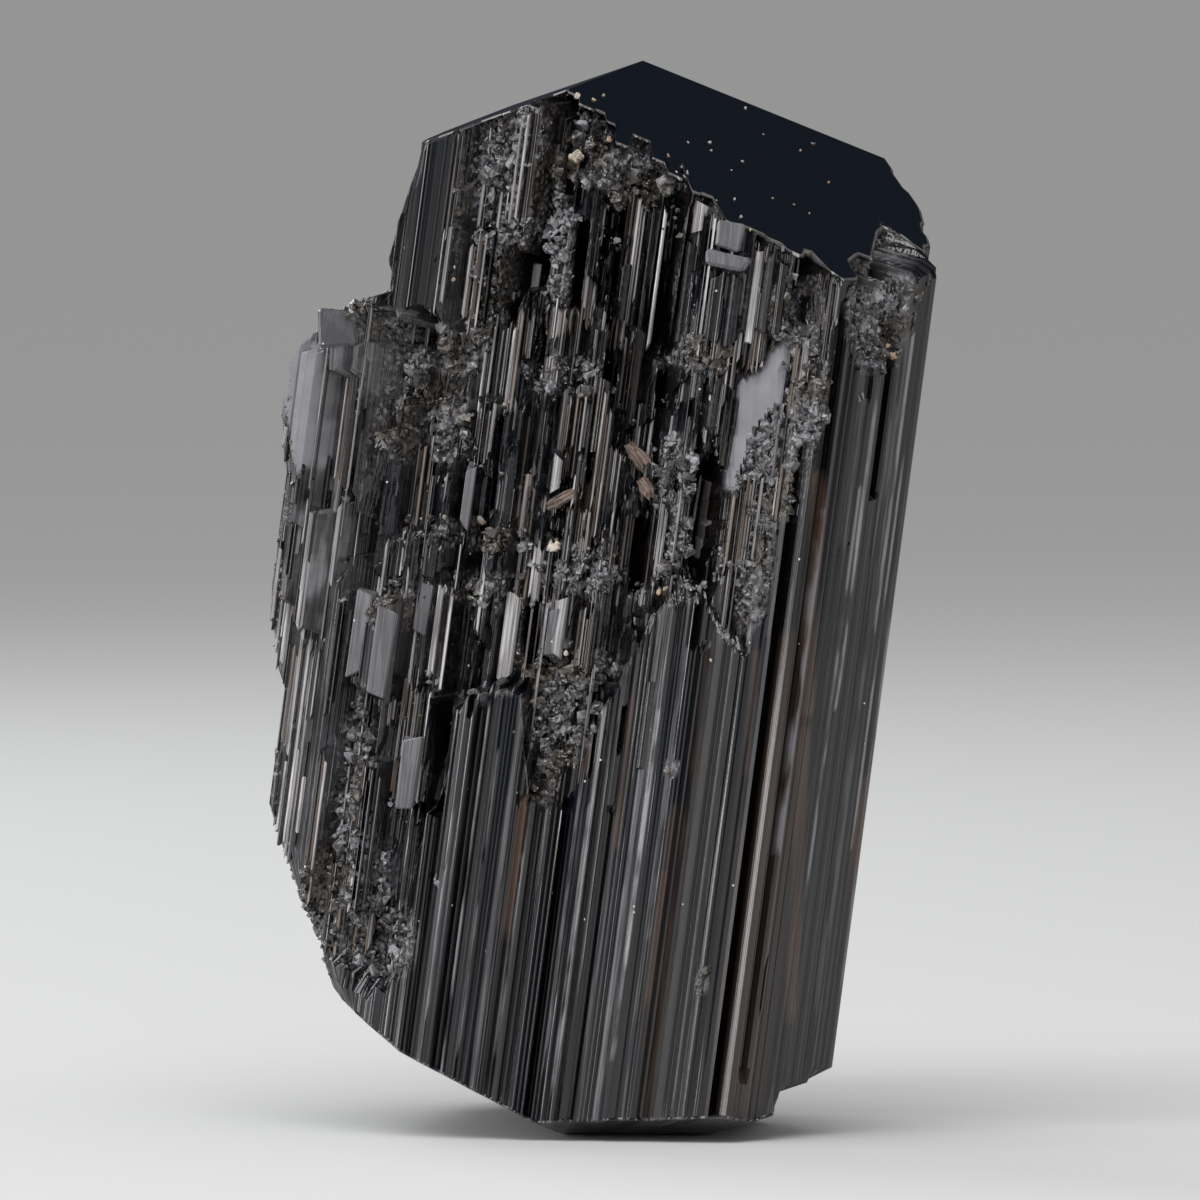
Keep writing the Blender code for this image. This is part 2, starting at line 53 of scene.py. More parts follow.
# Marks are placed by where they lie in the photograph, in its pixels.
photo = dict(
    middle=600.0,
    scale=0.056,  # mm to a pixel
    base=(-31.0, -532.0),  # where the crystal's axis meets its base, from the middle and upright
)


def atPixel(x, y):
    lean = math.radians(crystal["lean"])
    right, down = x - photo["middle"], y - photo["middle"]
    across = right * math.cos(lean) + down * math.sin(lean)
    up = right * math.sin(lean) - down * math.cos(lean)
    baseAcross, baseUp = photo["base"]
    return (across - baseAcross) * photo["scale"], (up - baseUp) * photo["scale"]


# Nodes.
class Wire:
    # one output of a node tree, so that sums of values read as sums
    def __init__(self, maker, socket):
        self.maker = maker
        self.socket = socket

    def math(self, operation, *others, clamp=False):
        values = (self, *others)
        inputs = {i: value for i, value in enumerate(values)}
        settings = dict(operation=operation, use_clamp=clamp)
        return self.maker.add("ShaderNodeMath", settings, inputs)

    def __add__(self, other):
        return self.math("ADD", other)

    __radd__ = __add__

    def __sub__(self, other):
        return self.math("SUBTRACT", other)

    def __rsub__(self, other):
        settings = dict(operation="SUBTRACT")
        return self.maker.add("ShaderNodeMath", settings, {0: other, 1: self})

    def __mul__(self, other):
        return self.math("MULTIPLY", other)

    __rmul__ = __mul__

    def __truediv__(self, other):
        return self.math("DIVIDE", other)

    def __pow__(self, other):
        return self.math("POWER", other)

    def above(self, low, high):
        # 0 below low, 1 above high, smooth between
        settings = dict(interpolation_type="SMOOTHSTEP", clamp=True)
        inputs = {"Value": self, "From Min": low, "From Max": high}
        return self.maker.add("ShaderNodeMapRange", settings, inputs)

    def below(self, low, high):
        return 1 - self.above(low, high)

    def clamp(self):
        return self.math("ADD", 0.0, clamp=True)


class NodeMaker:
    def __init__(self, tree):
        self.tree = tree

    def add(self, kind, settings=None, inputs=None, out=0):
        node = self.tree.nodes.new(kind)
        for name, value in (settings or {}).items():
            setattr(node, name, value)
        for key, value in (inputs or {}).items():
            if isinstance(value, Wire):
                self.tree.links.new(value.socket, node.inputs[key])
            else:
                node.inputs[key].default_value = value
        return Wire(self, node.outputs[out])

    def output(self, wire, out):
        return Wire(self, wire.socket.node.outputs[out])

    def vector(self, x, y, z=0.0):
        return self.add("ShaderNodeCombineXYZ", None, {"X": x, "Y": y, "Z": z})

    def noise(self, vector, scale=1.0, detail=2.0, roughness=0.5):
        settings = dict(noise_dimensions="3D")
        inputs = {"Vector": vector, "Scale": scale, "Detail": detail, "Roughness": roughness}
        return self.add("ShaderNodeTexNoise", settings, inputs)

    def voronoi(self, vector, scale=1.0, dimensions="2D", out="Distance"):
        settings = dict(voronoi_dimensions=dimensions, feature="F1")
        inputs = {"Vector": vector, "Scale": scale}
        return self.add("ShaderNodeTexVoronoi", settings, inputs, out)

    def split(self, vector, axis=0):
        return self.add("ShaderNodeSeparateXYZ", None, {"Vector": vector}, axis)

    def mixColour(self, factor, first, second):
        settings = dict(data_type="RGBA")
        return self.add("ShaderNodeMix", settings, {0: factor, 6: first, 7: second}, 2)


class MaterialMaker(NodeMaker):
    def __init__(self, name):
        self.material = bpy.data.materials.new(name)
        self.material.use_nodes = True
        super().__init__(self.material.node_tree)
        self.shader = self.tree.nodes["Principled BSDF"]

    def attribute(self, name):
        return self.add("ShaderNodeAttribute", dict(attribute_name=name), None, "Fac")

    def place(self):
        return self.add("ShaderNodeTexCoord", None, None, "Object")

    def feed(self, **sockets):
        for name, value in sockets.items():
            socket = self.shader.inputs[name.replace("_", " ")]
            if isinstance(value, Wire):
                self.tree.links.new(value.socket, socket)
            else:
                socket.default_value = value

    def bump(self, height, distance, strength=1.0):
        inputs = {"Height": height, "Distance": distance, "Strength": strength}
        return self.add("ShaderNodeBump", None, inputs)


class GeometryMaker(NodeMaker):
    def __init__(self, name, settings):
        tree = bpy.data.node_groups.new(name, "GeometryNodeTree")
        super().__init__(tree)
        tree.interface.new_socket(name="Mesh", in_out="INPUT", socket_type="NodeSocketGeometry")
        tree.interface.new_socket(name="Mesh", in_out="OUTPUT", socket_type="NodeSocketGeometry")
        for name, value in settings.items():
            kind = "NodeSocketInt" if isinstance(value, int) else "NodeSocketFloat"
            tree.interface.new_socket(name=name, in_out="INPUT", socket_type=kind)
        self.settings = settings
        self.inputNode = tree.nodes.new("NodeGroupInput")
        self.outputNode = tree.nodes.new("NodeGroupOutput")
        self.mesh = self.given("Mesh")

    def given(self, name):
        return Wire(self, self.inputNode.outputs[name])

    def attribute(self, name, kind="FLOAT"):
        settings = dict(data_type=kind)
        return self.add("GeometryNodeInputNamedAttribute", settings, {"Name": name})

    def finish(self, geometry, material):
        geometry = self.add("GeometryNodeRealizeInstances", None, {"Geometry": geometry})
        inputs = {"Geometry": geometry, "Material": material}
        geometry = self.add("GeometryNodeSetMaterial", None, inputs)
        self.tree.links.new(geometry.socket, self.outputNode.inputs[0])

    def applyTo(self, obj):
        # runs the tree on an object and leaves the result as its plain mesh
        modifier = obj.modifiers.new(self.tree.name, "NODES")
        modifier.node_group = self.tree
        for item in self.tree.interface.items_tree:
            if item.item_type == "SOCKET" and item.name in self.settings:
                modifier[item.identifier] = self.settings[item.name]
        graph = bpy.context.evaluated_depsgraph_get()
        mesh = bpy.data.meshes.new_from_object(obj.evaluated_get(graph))
        obj.modifiers.clear()
        old = obj.data
        mesh.name = obj.name
        obj.data = mesh
        bpy.data.meshes.remove(old)
        return obj


def storeNumber(maker, geometry, name, value, kind="FLOAT"):
    settings = dict(data_type=kind, domain="POINT")
    inputs = {"Geometry": geometry, "Name": name, "Value": value}
    return maker.add("GeometryNodeStoreNamedAttribute", settings, inputs)


def newObject(name, mesh):
    obj = bpy.data.objects.new(name, mesh)
    bpy.context.scene.collection.objects.link(obj)
    return obj


def smoothStep(low, high, value):
    share = np.clip((value - low) / (high - low), 0.0, 1.0)
    return share * share * (3 - 2 * share)


# Where the crystal stands.
def findCrystal():
    # the CAD crystal's mesh in the crystal's own axes, and the matrix from those to the row's
    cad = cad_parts["tourmaline_crystal"].data
    points = np.empty(len(cad.vertices) * 3)
    cad.vertices.foreach_get("co", points)
    points = points.reshape(-1, 3)
    lean = Matrix.Rotation(math.radians(crystal["lean"]), 4, "Y")
    straight = points @ np.array(lean.to_3x3())
    apex = straight[straight[:, 2].argmax()]
    origin = apex - np.array((0, 0, crystal["length"] * mm))
    toRow = lean @ Matrix.Translation(Vector(origin)) @ Matrix.Scale(mm, 4)
    cad.calc_loop_triangles()
    corners = [tuple(t.vertices) for t in cad.loop_triangles]
    own = (straight - origin) / mm
    return BVHTree.FromPolygons([tuple(p) for p in own], corners), toRow


solid, toRow = findCrystal()


def tipHeight(u, v):
    slope = math.tan(math.radians(crystal["tipSlope"]))
    turns = [math.radians(t) for t in crystal["tipTurns"]]
    faces = [crystal["length"] - slope * (u * np.cos(t) + v * np.sin(t)) for t in turns]
    return np.minimum.reduce(faces)


def frontDepth(u, w):
    # v of the solid's surface where it faces the viewer
    place, _, _, _ = solid.ray_cast(Vector((u, -crystal["reach"], w)), Vector((0.0, 1.0, 0.0)))
    return place.y if place else None


# The crystal's skin.
skin = dict(
    frontFrom=176.0,  # azimuth in degrees where the finely divided front starts
    frontTo=378.0,
    frontStep=0.33,  # degrees between its columns
    backStep=0.9,
    lowRows=10,  # rows below the etched part
    highRows=106,
    lowShare=0.2,  # share of the height that the low rows take
    edgeShare=0.0025,  # where the flutes end, from the base and from the rim
    backEvery=4,  # the back has one row for so many of the front's
    tipRings=(0.006, 0.012, 0.03, 0.05, 0.075, 0.1, 0.13, 0.17, 0.22, 0.28, 0.37, 0.48, 0.6, 0.74, 0.88),
    baseRings=(0.008, 0.06, 0.14, 0.25, 0.4, 0.58, 0.78),
    rimDrop=0.07,  # of the small bevel along the rim, in mm
    baseMiddle=(2.0, 0.0),
    radius=16.5,  # mean radius, which turns azimuths into mm around
    above=90.0,  # heights that are clear of the crystal
    below=-30.0,
    rimWalk=(59.9, 30.0, -0.25),  # start, stop and step of the search for the rim, in mm
    baseWalk=(-4.0, 20.0, 0.25),
    closings=12,  # halvings that close in on it
    onTip=0.03,  # mm from the point's faces that count as on them
    tipFrom=40.0,
    baseTurned=-0.72,  # how far a face of the base looks down
    baseTo=14.0,
)


def castIn(angle, w):
    out = Vector((math.cos(angle), math.sin(angle), 0.0))
    start = out * crystal["reach"] + Vector((0, 0, w))
    place, normal, _, _ = solid.ray_cast(start, -out)
    return place, normal


def isSide(place, normal):
    if place is None:
        return False
    fromTip = abs(place.z - tipHeight(place.x, place.y))
    onTip = fromTip < skin["onTip"] and place.z > skin["tipFrom"]
    onBase = normal.z < skin["baseTurned"] and place.z < skin["baseTo"]
    return not onTip and not onBase


def findRim(angle, start, stop, step):
    # walks from start towards stop until it meets the crystal's side, then closes in
    w = start
    while (stop - w) * step > 0 and not isSide(*castIn(angle, w)):
        w += step
    outside, inside = w - step, w
    for _ in range(skin["closings"]):
        middle = (outside + inside) / 2
        if isSide(*castIn(angle, middle)):
            inside = middle
        else:
            outside = middle
    return inside


def skinColumn(angle, shares):
    top = findRim(angle, *skin["rimWalk"]) - skin["rimDrop"]
    bottom = findRim(angle, *skin["baseWalk"]) + skin["rimDrop"] * 0.5
    line = []
    for share in shares:
        w = bottom + (top - bottom) * share
        place, _ = castIn(angle, w)
        if place is None:
            place = Vector((line[-1][0], line[-1][1], w))
        line.append((place.x, place.y, w))
    return line


def ringPoints(rim, middle, ts, fromAbove):
    points = []
    for t in ts:
        u = rim[0] + (middle[0] - rim[0]) * t
        v = rim[1] + (middle[1] - rim[1]) * t
        start = Vector((u, v, skin["above"] if fromAbove else skin["below"]))
        place, _, _, _ = solid.ray_cast(start, Vector((0, 0, -1.0 if fromAbove else 1.0)))
        w = place.z if place else (tipHeight(u, v) if fromAbove else rim[2])
        points.append((u, v, w))
    return points


def skinAngles():
    # columns as azimuths, with one exactly on each edge of the point
    front = np.arange(skin["frontFrom"], skin["frontTo"], skin["frontStep"])
    back = np.arange(skin["frontTo"], skin["frontFrom"] + 360.0, skin["backStep"])
    angles = list(front) + list(back)
    for turn in crystal["tipTurns"]:
        edge = (turn + 60.0 - skin["frontFrom"]) % 360.0 + skin["frontFrom"]
        nearest = min(range(len(angles)), key=lambda i: abs(angles[i] - edge))
        angles[nearest] = edge
    return [math.radians(a) for a in angles], len(front)


def buildSkin():
    angles, frontCount = skinAngles()
    edgeShare = skin["edgeShare"]
    low = np.linspace(edgeShare, skin["lowShare"], skin["lowRows"], endpoint=False)
    high = np.linspace(skin["lowShare"], 1 - edgeShare, skin["highRows"])
    shares = [0.0] + list(low) + list(high) + [1.0]
    every = skin["backEvery"]
    ends = (0, 1, len(shares) - 2, len(shares) - 1)
    coarse = [k for k in range(len(shares)) if k % every == 0 or k in ends]
    points = []
    columns = []  # index of each column's vertices, base middle first
    baseMiddle = skin["baseMiddle"]
    start = Vector((*baseMiddle, skin["below"]))
    bottomPoint, _, _, _ = solid.ray_cast(start, Vector((0, 0, 1.0)))
    points.append(tuple(bottomPoint))
    points.append((0.0, 0.0, crystal["length"]))
    for i, angle in enumerate(angles):
        isFront = i <= frontCount
        rows = shares if isFront else [shares[k] for k in coarse]
        side = skinColumn(angle, rows)
        base = ringPoints(side[0], baseMiddle, skin["baseRings"], False)[::-1]
        tip = ringPoints(side[-1], (0.0, 0.0), skin["tipRings"], True)
        start = len(points)
        points += base + side + tip
        columns.append(list(range(start, len(points))))
    baseCount, tipCount = len(skin["baseRings"]), len(skin["tipRings"])
    isFine = [len(c) == baseCount + len(shares) + tipCount for c in columns]
    # rows of a fine column that a coarse one shares
    shared = list(range(baseCount)) + [baseCount + k for k in coarse]
    shared += [baseCount + len(shares) + k for k in range(tipCount)]
    faces = []
    for i, near in enumerate(columns):
        j = (i + 1) % len(columns)
        far = columns[j]
        faces.append((0, far[0], near[0]))
        faces.append((1, near[-1], far[-1]))
        if isFine[i] == isFine[j]:
            for k in range(len(near) - 1):
                faces.append((near[k], far[k], far[k + 1], near[k + 1]))
        else:
            fine, other = (near, far) if isFine[i] else (far, near)
            for m, (a, b) in enumerate(zip(shared, shared[1:])):
                edge = fine[a : b + 1]
                if isFine[i]:
                    faces.append(tuple([other[m], other[m + 1]] + edge[::-1]))
                else:
                    faces.append(tuple([other[m + 1], other[m]] + edge))
    return np.array(points), faces, angles, columns, baseCount, tipCount


# Marks of growth and etching, as numbers on the skin.
etched = dict(
    lowerEdge=(  # u, w of the lower end of the etched part
        (-13.5, 43.0), (-12.4, 8.8), (-7.4, 7.6), (-6.4, 17.6), (-5.8, 24.2), (-2.2, 24.8),
        (-1.0, 19.0), (0.6, 20.6), (2.4, 24.4), (3.6, 27.4), (5.0, 30.6), (7.2, 31.4),
        (8.4, 29.4), (9.8, 28.8), (10.8, 38.0), (12.2, 45.5), (12.9, 60.0), (18.0, 60.0),
    ),
    softness=0.5,
    # parts inside it that kept their faces: u, w, half width, half height
    whole=((-11.6, 51.4, 1.7, 7.4), (-10.5, 26.0, 1.2, 2.4)),
    wholeEdge=(0.9, 1.15),
    leftEdge=(-16.5, -13.0),
)

# How softly marks end, as shares of their half width, and how deep behind the front they show in mm.
softEdges = dict(line=(1.25, 0.7), patch=(1.15, 0.8), seen=(0.9, 0.4), tip=(0.0, 0.3))

# The worn left flank from right to left and upwards, and the base, worn and painted lighter as a painted
# reflection of the floor.
wornParts = dict(flank=(-11.5, -14.5), flankTop=(46.0, 42.0), base=(7.0, 2.0))

# Patches grown over with fine grains: middle, half width and half height in pixels.
drusyPatches = (
    (505, 205, 55, 100),
    (575, 150, 30, 40),
    (632, 170, 40, 38),
    (560, 262, 22, 55),
    (430, 348, 50, 26),
    (420, 420, 52, 44),
    (500, 330, 44, 22),
    (560, 372, 40, 20),
    (364, 320, 46, 16),
    (700, 350, 70, 16),
    (665, 470, 28, 40),
    (680, 545, 30, 30),
    (765, 470, 34, 50),
    (748, 570, 18, 50),
    (790, 310, 26, 40),
    (800, 400, 18, 60),
    (875, 290, 34, 76),
    (898, 245, 24, 30),
    (560, 705, 34, 50),
    (544, 770, 14, 22),
    (500, 585, 60, 20),
    (470, 530, 60, 16),
    (575, 560, 44, 26),
    (560, 655, 60, 20),
    (395, 600, 34, 24),
    (350, 760, 16, 70),
    (345, 880, 44, 60),
    (380, 930, 36, 34),
    (440, 865, 8, 8),
    (666, 757, 7, 9),
    (699, 957, 8, 9),
)


# Narrow slots, painted near black inside as painted shadow: top and bottom in pixels, half their width in
# pixels, depth in mm.
slots = dict(
    lines=(
        ((567, 112), (563, 190), 5, 2.0),
        ((543, 160), (523, 262), 5, 1.8),
        ((459, 218), (453, 290), 6, 1.8),
        ((578, 228), (571, 322), 7, 2.2),
        ((648, 216), (646, 340), 3, 1.8),
        ((661, 216), (655, 345), 6, 2.4),
        ((683, 240), (676, 335), 4, 1.8),
        ((603, 205), (597, 300), 4, 1.5),
        ((507, 300), (501, 352), 4, 1.5),
        ((532, 578), (528, 648), 8, 2.2),
        ((637, 520), (633, 580), 7, 2.0),
        ((800, 262), (806, 300), 9, 1.8),
        ((437, 690), (432, 795), 7, 1.8),
        ((592, 400), (586, 470), 3, 1.5),
        ((497, 420), (490, 500), 4, 1.5),
        ((660, 375), (655, 455), 4, 1.6),
    ),
    # broad hollows between the columns, darkened with painted shadow
    hollows=(
        ((668, 214), (656, 338), 20, 1.0),
        ((534, 250), (524, 345), 14, 1.0),
        ((612, 215), (604, 290), 9, 1.0),
        ((704, 440), (694, 566), 13, 0.8),
        ((717, 455), (709, 562), 11, 0.5),
        ((596, 380), (588, 440), 12, 0.8),
        ((648, 370), (640, 430), 12, 0.8),
        ((800, 268), (806, 312), 12, 1.0),
    ),
    chance=40,  # and so many more slots, by chance
    chanceHalf=(1.2, 3.0),
    chanceLong=(25.0, 95.0),
    chanceDeep=(0.6, 1.4),
    chanceBox=(345, 190, 735, 700),
    # long grooves between the flutes of the intact front, all along the crystal's axis: top, length,
    # half width and depth of each
    grooves=(
        (797, 440, 690, 6, 1.1),
        (883, 360, 130, 3.5, 0.7),
        (838, 300, 760, 3.5, 0.5),
        (700, 640, 480, 4, 0.5),
        (566, 790, 310, 3.5, 0.5),
        (480, 700, 370, 4.5, 0.6),
        (607, 800, 320, 3.5, 0.45),
        (453, 700, 350, 3.5, 0.5),
    ),
    seed=21,
)

# Warm brown streaks in the striae: top and bottom in pixels, half width in pixels, strength.
warmStreaks = (
    ((812, 470), (800, 700), 7, 0.75),
    ((798, 720), (785, 1000), 6, 0.6),
    ((522, 790), (505, 920), 5, 0.8),
    ((858, 770), (846, 930), 5, 0.55),
    ((628, 690), (612, 830), 4, 0.5),
    ((660, 860), (645, 980), 5, 0.55),
    ((440, 690), (432, 780), 4, 0.7),
    ((750, 640), (742, 760), 4, 0.4),
    ((590, 690), (582, 760), 4, 0.4),
    ((790, 640), (738, 1080), 20, 0.3),
    ((745, 820), (714, 1090), 13, 0.25),
    ((672, 800), (640, 1090), 9, 0.3),
)

# Thin bright threads painted silver as painted highlights, all along the crystal's axis: top, length,
# half width and strength.
paintedGleams = (
    (871, 385, 315, 1.6, 0.9),
    (906, 330, 290, 1.4, 0.7),
    (852, 483, 400, 1.4, 0.6),
    (897, 455, 385, 1.4, 0.7),
    (816, 505, 335, 1.8, 0.6),
    (884, 610, 370, 1.4, 0.5),
    (682, 640, 280, 1.5, 0.7),
    (655, 700, 340, 1.6, 0.9),
    (641, 720, 380, 1.4, 0.6),
    (600, 700, 340, 1.6, 0.7),
    (587, 790, 280, 1.3, 0.8),
    (580, 760, 290, 1.3, 0.7),
    (520, 840, 200, 1.6, 0.6),
    (496, 740, 300, 1.3, 0.8),
    (487, 700, 360, 1.3, 0.9),
    (478, 760, 280, 1.2, 0.7),
    (452, 800, 200, 1.2, 0.7),
)

# Dark plain bands between the flutes with the painted silver highlight, where that painted highlight and
# the brown are left out, in the same way.
shades = (
    (452, 700, 330, 10, 1.0),
    (500, 690, 400, 13, 1.0),
    (534, 700, 360, 7, 0.9),
    (606, 720, 350, 13, 1.0),
    (646, 640, 300, 6, 0.8),
    (720, 640, 440, 10, 0.9),
    (756, 640, 450, 15, 1.0),
    (793, 580, 520, 14, 1.0),
    (822, 560, 520, 10, 0.8),
    (846, 560, 500, 22, 0.7),
)

# Plain satin faces, as outlines in pixels; they are painted pale grey, partly their etched finish and
# partly a painted sheen.
plainFaces = (
    ((780, 334), (773, 399), (756, 417), (744, 431), (740, 453), (728, 489), (724, 480), (727, 453),
     (732, 413), (732, 381), (751, 365), (762, 352)),
    ((285, 345), (319, 342), (322, 362), (316, 405), (309, 445), (298, 474), (290, 450), (283, 400)),
)


def tableValues(table, at):
    return np.interp(at, [p[0] for p in table], [p[1] for p in table])


def alongLines(lines, u, w):
    # the strongest of some lines at each place: top, bottom, half width and strength of each
    strength = np.zeros(np.shape(u))
    for top, bottom, half, strong in lines:
        start, stop = np.array(atPixel(*top)), np.array(atPixel(*bottom))
        run = stop - start
        share = ((u - start[0]) * run[0] + (w - start[1]) * run[1]) / (run @ run)
        share = np.clip(share, 0.0, 1.0)
        far = np.hypot(u - start[0] - run[0] * share, w - start[1] - run[1] * share)
        near = smoothStep(*softEdges["line"], far / (half * photo["scale"]))
        strength = np.maximum(strength, near * strong)
    return strength


def downAxis(marks):
    # lines along the crystal's axis, from the top and the length of each
    slope = math.tan(math.radians(crystal["lean"]))
    return [((x, y), (x - long * slope, y + long), half, deep) for x, y, long, half, deep in marks]


def slotLines():
    random = np.random.default_rng(slots["seed"])
    lines = list(slots["lines"]) + list(slots["hollows"]) + downAxis(slots["grooves"])
    left, top, right, bottom = slots["chanceBox"]
    for _ in range(slots["chance"]):
        x, y = random.uniform(left, right), random.uniform(top, bottom)
        long = random.uniform(*slots["chanceLong"])
        half, deep = random.uniform(*slots["chanceHalf"]), random.uniform(*slots["chanceDeep"])
        lines += downAxis([(x, y, long, half, deep)])
    return lines


allSlots = slotLines()


def inPatches(patches, u, w):
    # how far each place lies in some rounded patches: u, w, half width, half height of each
    inside = np.zeros(np.shape(u))
    for pu, pw, ru, rw in patches:
        far = np.hypot((u - pu) / ru, (w - pw) / rw)
        inside = np.maximum(inside, smoothStep(*softEdges["patch"], far))
    return inside


def inOutline(outline, u, w):
    # counts how often a line to the right crosses the outline
    corners = [atPixel(x, y) for x, y in outline]
    inside = np.zeros(np.shape(u), dtype=bool)
    for (au, aw), (bu, bw) in zip(corners, corners[1:] + corners[:1]):
        between = (aw > w) != (bw > w)
        slope = (bu - au) / ((bw - aw) or 1e-9)
        inside = inside ^ (between & (u < au + (w - aw) * slope))
    return inside


def onPlainFace(u, w):
    faces = [inOutline(outline, u, w) for outline in plainFaces]
    return np.logical_or.reduce(faces) * 1.0


def inPixelPatches(patches, u, w):
    placed = []
    for x, y, wide, high in patches:
        placed.append((*atPixel(x, y), wide * photo["scale"], high * photo["scale"]))
    return inPatches(placed, u, w)


def inEtched(u, w):
    soft = etched["softness"]
    inside = smoothStep(-soft, soft, w - tableValues(etched["lowerEdge"], u))
    for pu, pw, ru, rw in etched["whole"]:
        far = np.maximum(abs(u - pu) / ru, abs(w - pw) / rw)
        inside = inside * smoothStep(*etched["wholeEdge"], far)
    return inside * smoothStep(*etched["leftEdge"], u)


def seenFromFront(u, v, w):
    seen = np.zeros(len(u))
    for i in np.flatnonzero(v < 0.0):
        depth = frontDepth(u[i], w[i])
        seen[i] = 0.0 if depth is None else v[i] - depth
    return smoothStep(*softEdges["seen"], seen) * (v < 0.0)


def skinNumbers(points, angles, columns, baseCount, tipCount):
    count = len(points)
    names = ("around", "along", "side", "etched", "drusy", "wornAndReflection")
    names += ("slot", "warmStreak", "satin", "rim", "paintedGleam", "shade")
    numbers = {name: np.zeros(count) for name in names}
    inward = np.zeros((count, 3))
    steps = np.diff(angles, prepend=angles[0]) % (2 * math.pi)
    place = np.cumsum(steps) * skin["radius"]
    for i, column in enumerate(columns):
        index = np.array(column)
        numbers["around"][index] = place[i]
        numbers["side"][index[baseCount + 1 : len(column) - tipCount - 1]] = 1.0
        numbers["rim"][index[-tipCount]] = 1.0
        inward[index] = (-math.cos(angles[i]), -math.sin(angles[i]), 0.0)
    u, v, w = points.T
    numbers["along"] = w.copy()
    front = seenFromFront(u, v, w)
    tip = smoothStep(*softEdges["tip"], tipHeight(u, v) - w)
    numbers["etched"] = front * inEtched(u, w) * tip
    plain = front * onPlainFace(u, w)
    numbers["drusy"] = front * inPixelPatches(drusyPatches, u, w) * tip * (1 - plain)
    numbers["slot"] = front * alongLines(allSlots, u, w) * tip * (1 - plain)
    numbers["warmStreak"] = front * alongLines(warmStreaks, u, w)
    numbers["paintedGleam"] = front * alongLines(downAxis(paintedGleams), u, w)
    numbers["shade"] = front * alongLines(downAxis(shades), u, w)
    numbers["satin"] = plain
    numbers["etched"] *= 1 - plain
    left = smoothStep(*wornParts["flank"], u) * smoothStep(*wornParts["flankTop"], w)
    under = smoothStep(*wornParts["base"], w) * (numbers["side"] < 0.5)
    numbers["wornAndReflection"] = np.maximum(left, under)
    return numbers, inward


def skinMesh():
    points, faces, angles, columns, baseCount, tipCount = buildSkin()
    numbers, inward = skinNumbers(points, angles, columns, baseCount, tipCount)
    mesh = bpy.data.meshes.new("tourmaline")
    mesh.from_pydata([tuple(p) for p in points], [], faces)
    for name, values in numbers.items():
        mesh.attributes.new(name, "FLOAT", "POINT").data.foreach_set("value", values)
    turned = inward @ np.array(toRow.to_3x3()).T / mm
    field = mesh.attributes.new("inward", "FLOAT_VECTOR", "POINT")
    field.data.foreach_set("vector", turned.ravel())
    mesh.transform(toRow)
    return mesh


striation = {
    "Broad Width": 1.5,  # mm across the broad flutes
    "Broad Height": 0.3,  # their depth as a share of their width
    "Narrow Width": 0.5,
    "Narrow Height": 0.34,
    "Fine Width": 0.25,
    "Fine Height": 0.16,
    "Broad Tilt": 0.32,  # most that a flute's face is turned, as a slope
    "Narrow Tilt": 0.42,
    "Fine Tilt": 0.12,
    "Least Lined": 0.05,  # what is left of the finer flutes on the smooth broad ones
    "Etch Depth": 0.5,
    "Grain Depth": 0.3,
}


def striationTree(material):
    # round flutes with sharp grooves between, and broken off at various depths in the etched part
    maker = GeometryMaker("striation", striation)
    around = maker.attribute("around")
    along = maker.attribute("along")
    side = maker.attribute("side")
    etch = maker.attribute("etched")
    drusy = maker.attribute("drusy")
    satin = maker.attribute("satin")

    def cells(size, seed):
        # how far a place is from the middle of its flute, which side of it, and the flute's chance
        spot = around / maker.given(size + " Width") + seed
        settings = dict(voronoi_dimensions="1D", feature="F1")
        far = maker.add("ShaderNodeTexVoronoi", settings, {"W": spot}, "Distance")
        return far, spot - maker.output(far, "W"), maker.output(far, "Color")

    def flutes(size, power, seed):
        far, aside, chance = cells(size, seed)
        slope = aside * (maker.split(chance) - 0.5) * 2 * maker.given(size + " Tilt")
        return (far ** power * maker.given(size + " Height") + slope) * maker.given(size + " Width")

    def where(scale, stretch, seed, low, high):
        place = maker.vector(around * scale + seed, along * stretch)
        return maker.noise(place, detail=1.0).above(low, high)

    broadSeed = 3.7
    flute = maker.split(cells("Broad", broadSeed)[2], 1)
    lined = maker.given("Least Lined") + (flute.above(0.6, 0.64) + etch).clamp()
    depth = flutes("Broad", 1.8, broadSeed) * (0.3 + where(0.15, 0.004, 0.0, 0.35, 0.6) * 0.7)
    lined = lined * where(0.3, 0.006, 5.0, 0.36, 0.56) * (1 - maker.attribute("shade") * 0.75)
    depth = depth + flutes("Narrow", 1.3, 11.3) * lined
    depth = depth + flutes("Fine", 1.0, 29.1) * where(0.9, 0.02, 9.0, 0.4, 0.6) * lined
    narrow = maker.given("Narrow Width")
    cell = maker.vector(around / narrow + 5.1, along * 0.12 / narrow)
    broken = maker.split(maker.voronoi(cell, out="Color"))
    depth = depth + etch * broken * maker.given("Etch Depth")
    grit = maker.split(maker.voronoi(maker.vector(around * 2.4, along * 2.4), out="Color"))
    depth = depth + drusy * grit * maker.given("Grain Depth")
    depth = (depth + maker.attribute("slot")) * (1 - satin)
    depth = depth * side * mm
    inward = maker.attribute("inward", "FLOAT_VECTOR")
    settings = dict(operation="SCALE")
    offset = maker.add("ShaderNodeVectorMath", settings, {0: inward, "Scale": depth})
    moved = maker.add("GeometryNodeSetPosition", None, {"Geometry": maker.mesh, "Offset": offset})
    # the etched part has its finish from the columns that stand before it
    maker.finish(storeNumber(maker, moved, "flute", flute * (1 - etch)), material)
    return maker


